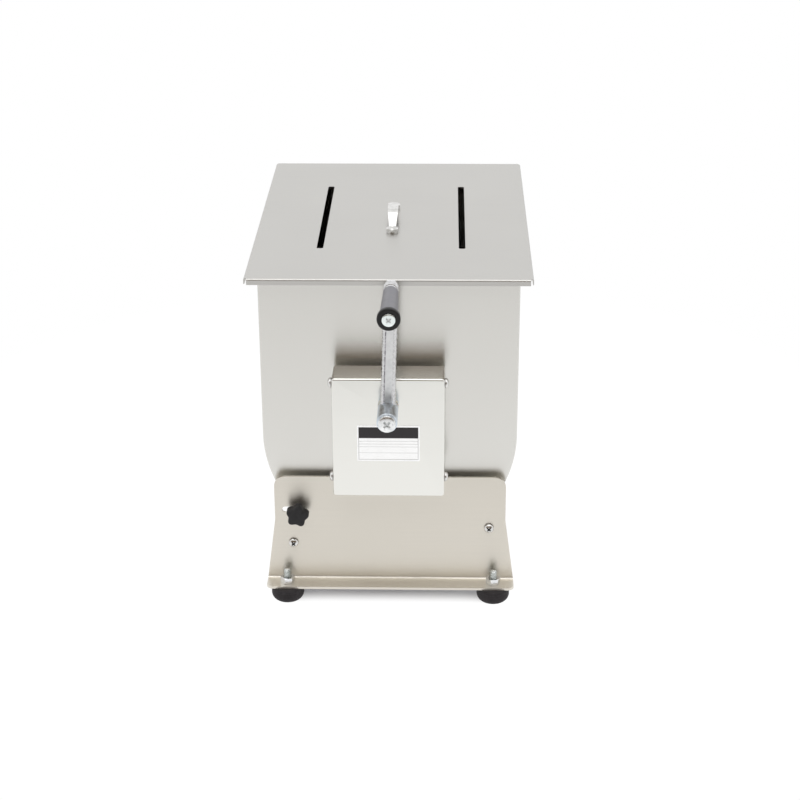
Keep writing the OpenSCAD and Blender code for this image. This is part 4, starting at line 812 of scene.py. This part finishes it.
# Grip. A moulded plastic sleeve, tapered towards the arm, with a black collar at the front that keeps the
# hand from slipping off. It spins freely on its bolt, whose head lies in the collar.
grip_len = grip_high.y - grip_low.y
sleeve_back_r, sleeve_front_r, collar_r, collar_len = 7.2 * mm, 8.8 * mm, 10.9 * mm, 6 * mm
head_bore, head_deep, grip_soft, collar_round, bore_edge = 13 * mm, 3.8 * mm, 1 * mm, 1.6 * mm, 0.4 * mm
flare_len, flare, tone_blur = 1.2 * mm, 0.3 * mm, 0.3 * mm
collar_back, head_floor = grip_len - collar_len, grip_len - head_deep
sleeve_tints, collar_black = ((0.132, 0.13, 0.147), (0.176, 0.174, 0.195)), (0.009, 0.0085, 0.009)
grip_outline = (
    [(m8_bore / 2, 0), (sleeve_back_r - grip_soft, 0)]
    + arc((sleeve_back_r - grip_soft, grip_soft), grip_soft, -90, 0, 4)
    + [(sleeve_front_r, collar_back - flare_len), (sleeve_front_r + flare, collar_back)]
    + arc((collar_r - grip_soft, collar_back + grip_soft), grip_soft, -90, 0, 4)
    + arc((collar_r - collar_round, grip_len - collar_round), collar_round, 0, 90, 5)
    + [(head_bore / 2 + bore_edge, grip_len), (head_bore / 2, grip_len - bore_edge),
       (head_bore / 2, head_floor), (m8_bore / 2, head_floor), (m8_bore / 2, 0)])


def two_tone_plastic(name, edge_y):
    """Plastic that is black in front of an edge across Y, and dark grey behind it."""
    material, tree, shader = new_material(name, Specular_IOR_Level=0.35)
    wear = placed_group(tree, surface_wear, Place=object_place(tree), Patches=130.0, Grain=1800.0)
    parts = add_node(tree, "SeparateXYZ", Vector=add_node(tree, "TexCoord").outputs["Object"])
    is_collar = ranged(tree, parts.outputs["Y"], 1.0, 0.0, start=edge_y - tone_blur, end=edge_y + tone_blur)
    sleeve_tone = mixed(tree, wear.outputs["Tone"], shade(sleeve_tints[0]), shade(sleeve_tints[1]))
    two_toned = mixed(tree, is_collar, sleeve_tone, shade(collar_black))
    link_looks(tree, shader, two_toned, wear.outputs["Tone"], roughness=(0.32, 0.42),
               height=wear.outputs["Height"], strength=0.12, depth=0.04 * mm)
    return material


grip_plastic = two_tone_plastic("grip_plastic", grip_low.y + collar_len)
grip_place = facing((grip_at.x, grip_high.y, grip_at.z), FRONT)
new_piece("grip_sleeve", repeated(lathed(grip_outline, 64), [grip_place]),
          (grip_plastic,), "grip", "grip_plastic", "crank_grip")

# Lock knob. A moulded black star knob on a threaded stud, which runs in a nut behind the front plate and
# presses on the tank's wall to hold its tilt.
knob_at = joint_places["knob_turn"]
knob_low, knob_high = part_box("star_knob")
knob_r, knob_valley, knob_lobes, lobe_steps, knob_turn = 11.75 * mm, 2.7 * mm, 5, 24, 8
knob_head_t, knob_round = 11 * mm, 2.6 * mm
neck_r, neck_edge, neck_into_head = 6.5 * mm, 0.6 * mm, 2 * mm
knob_steps = lobe_steps * knob_lobes
knob_outline = []
for step in range(knob_steps):
    angle = 2 * math.pi * step / knob_steps
    radius = knob_r - knob_valley * (1 - math.cos(knob_lobes * angle)) / 2
    knob_outline.append((radius * math.cos(angle), radius * math.sin(angle)))
knob = bmesh.new()
knob_back = knob.faces.new([knob.verts.new((x, y, 0)) for x, y in knob_outline])
pull_out(knob, knob_back, (0, 0, knob_head_t))
for height, rounding in ((knob_head_t, knob_round), (0, knob_round / 2)):
    star_edges = [edge for edge in knob.edges if all(abs(vert.co.z - height) < flush for vert in edge.verts)]
    round_edges(knob, star_edges, rounding, 5)
neck_len = knob_high.y - knob_low.y - knob_head_t
neck = lathed([(0, -neck_len), (neck_r - neck_edge, -neck_len), (neck_r, neck_edge - neck_len),
               (neck_r, neck_into_head), (0, neck_into_head)])
knob = carved(knob, neck, "UNION")
knob_plastic = worn_finish(
    "knob_plastic", tints=((0.0145, 0.014, 0.015), (0.0245, 0.024, 0.0255)), roughness=(0.5, 0.62),
    patches=150, grain=2400, bump=0.2, Specular_IOR_Level=0.3)
knob_place = facing((knob_at.x, knob_low.y + knob_head_t, knob_at.z), FRONT, knob_turn)
new_piece("star_grip", repeated(knob, [knob_place]),
          (knob_plastic,), "lock_knob", "black_plastic", "star_knob", sharp=40)
stud_front, stud_back = (corner.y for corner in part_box("lock_stud"))
lock_lead = 0.6 * mm
new_piece("lock_thread", repeated(threaded(m6_thread, m6_pitch, 0, stud_back - stud_front, lock_lead),
                                  [facing((knob_at.x, stud_front, knob_at.z), REAR)]),
          (zinc,), "lock_knob", "zinc_plate", "lock_stud", sharp=50)
lock_nut_low, lock_nut_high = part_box("lock_nut")
new_piece("lock_hex_nut", repeated(hex_nut(m6_flats, lock_nut_high.y - lock_nut_low.y, m6_bore),
                                   [facing((knob_at.x, lock_nut_low.y, knob_at.z), REAR)]),
          (zinc,), "stand", "zinc_plate", "lock_nut", sharp=20)

# Studio. A white sweep of floor in a bright room, with a softbox nearly overhead. A low dim wall in front,
# behind the camera, gives the upright steel its darker tones. The floor goes over into plain white a little
# way outside the mixer's shadow.
floor_size = 16.0
sweep = bmesh.new()
bmesh.ops.create_grid(sweep, x_segments=8, y_segments=8, size=floor_size / 2)
floor_mesh = as_mesh(sweep)
floor = bpy.data.objects.new("floor", floor_mesh)
scene.collection.objects.link(floor)

stand_low, stand_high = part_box("front_stand_plate")[0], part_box("rear_stand_plate")[1]
shadow_in, shadow_out = 28 * mm, 3 * mm
# The floor's colour is darker under the mixer, a painted shadow.
painted_shadow_tint, sweep_tint = (0.69, 0.695, 0.74), (0.88, 0.88, 0.9)
near_mirror, far_mirror, mirror_start, mirror_end = 1.045, 0.93, 250 * mm, 850 * mm


def outside(tree, value, low, high):
    """How far a value lies outside of two bounds, multiplied by itself."""
    from_middle = reckoned(tree, "ABSOLUTE", reckoned(tree, "SUBTRACT", value, (low + high) / 2))
    beyond = reckoned(tree, "MAXIMUM", reckoned(tree, "SUBTRACT", from_middle, (high - low) / 2), 0.0)
    return reckoned(tree, "MULTIPLY", beyond, beyond)


def sweep_paint(name):
    """Floor paint darkened under the mixer as a painted shadow, where the mixer's own shadow also falls. Further
    out the camera sees plain white, and the steel sees a white glow that dims a little with the distance."""
    material, tree, shader = new_material(name, Roughness=0.9, Specular_IOR_Level=0.0)
    place = add_node(tree, "SeparateXYZ", Vector=add_node(tree, "TexCoord").outputs["Object"])
    beside = outside(tree, place.outputs["X"], stand_low.x + shadow_in, stand_high.x - shadow_in)
    before = outside(tree, place.outputs["Y"], stand_low.y + shadow_in, stand_high.y - shadow_in)
    apart = reckoned(tree, "SQRT", reckoned(tree, "ADD", beside, before))
    plain_white = ranged(tree, apart, 0.0, 1.0, start=0.0, end=shadow_in + shadow_out)
    painted = mixed(tree, plain_white, shade(painted_shadow_tint), shade(sweep_tint))
    tree.links.new(painted, shader.inputs["Base Color"])
    path = add_node(tree, "LightPath")
    seen = reckoned(tree, "MAXIMUM", path.outputs["Is Camera Ray"], path.outputs["Is Glossy Ray"])
    # Painted light: for the steel the floor glows, a little brighter near the mixer than far off.
    mirrored = ranged(tree, apart, near_mirror, far_mirror, start=mirror_start, end=mirror_end)
    level = reckoned(tree, "MAXIMUM", mirrored, path.outputs["Is Camera Ray"])
    white = add_node(tree, "Emission", Color=(1, 1, 1, 1), Strength=level)
    swept = add_node(tree, "MixShader", Fac=reckoned(tree, "MULTIPLY", seen, plain_white))
    tree.links.new(shader.outputs["BSDF"], swept.inputs[1])
    tree.links.new(white.outputs["Emission"], swept.inputs[2])
    tree.links.new(swept.outputs["Shader"], tree.nodes["Material Output"].inputs["Surface"])
    return material


floor_mesh.materials.append(sweep_paint("floor_paint"))

room_white, softbox_level, wall_dim = (1, 1, 1), 1.9, (0.17, 0.125, 0.085)
softbox_way, softbox_inner, softbox_outer = Vector((0, -0.3, 0.95)), math.radians(24), math.radians(34)
studio = bpy.data.worlds.new("studio")
studio.use_nodes = True
scene.world = studio
sky = studio.node_tree
ray = add_node(sky, "TexCoord").outputs["Generated"]
towards = add_node(sky, "VectorMath", {"operation": "DOT_PRODUCT"})
fill_socket(sky, towards.inputs[0], ray)
fill_socket(sky, towards.inputs[1], softbox_way.normalized())
softbox = ranged(sky, towards.outputs["Value"], 0.0, 1.0,
                 start=math.cos(softbox_outer), end=math.cos(softbox_inner))
heading = add_node(sky, "SeparateXYZ", Vector=ray)
low_down = ranged(sky, heading.outputs["Z"], 1.0, 0.0, start=0.56, end=0.72)
in_front = ranged(sky, heading.outputs["Y"], 1.0, 0.0, start=-0.8, end=-0.4)
lit_room = mixed(sky, softbox, shade(room_white), shade(room_white, softbox_level))
room = mixed(sky, reckoned(sky, "MULTIPLY", low_down, in_front), lit_room, shade(wall_dim))
sky_path = add_node(sky, "LightPath")
backdrop = mixed(sky, sky_path.outputs["Is Camera Ray"], room, shade(room_white))
sky.links.new(backdrop, sky.nodes["Background"].inputs["Color"])

# Camera. It stands 1.8 m in front of the mixer, a little to the right, and looks down on the lid. Its lens is
# given by its focal length in pixels of the picture.
camera_at = Vector((53.6, -1803.75, 959.8)) * mm
camera_yaw, camera_pitch, camera_roll = (math.radians(a) for a in (1.48, 24.01, -0.27))
picture_px, focal_px, film = 800, 1840, 36.0
level_right = Vector((math.cos(camera_yaw), math.sin(camera_yaw), 0))
ahead = Vector((-math.sin(camera_yaw) * math.cos(camera_pitch), math.cos(camera_yaw) * math.cos(camera_pitch),
                -math.sin(camera_pitch)))
level_up = level_right.cross(ahead)
rolled_right = math.cos(camera_roll) * level_right + math.sin(camera_roll) * level_up
rolled_up = math.cos(camera_roll) * level_up - math.sin(camera_roll) * level_right
lens = bpy.data.cameras.new("camera")
lens.sensor_width = film
lens.lens = film * focal_px / picture_px
camera = bpy.data.objects.new("camera", lens)
camera.matrix_world = (Matrix.Translation(camera_at)
                       @ Matrix((rolled_right, rolled_up, -ahead)).transposed().to_4x4())
scene.collection.objects.link(camera)
scene.camera = camera
scene.view_settings.view_transform = "Standard"
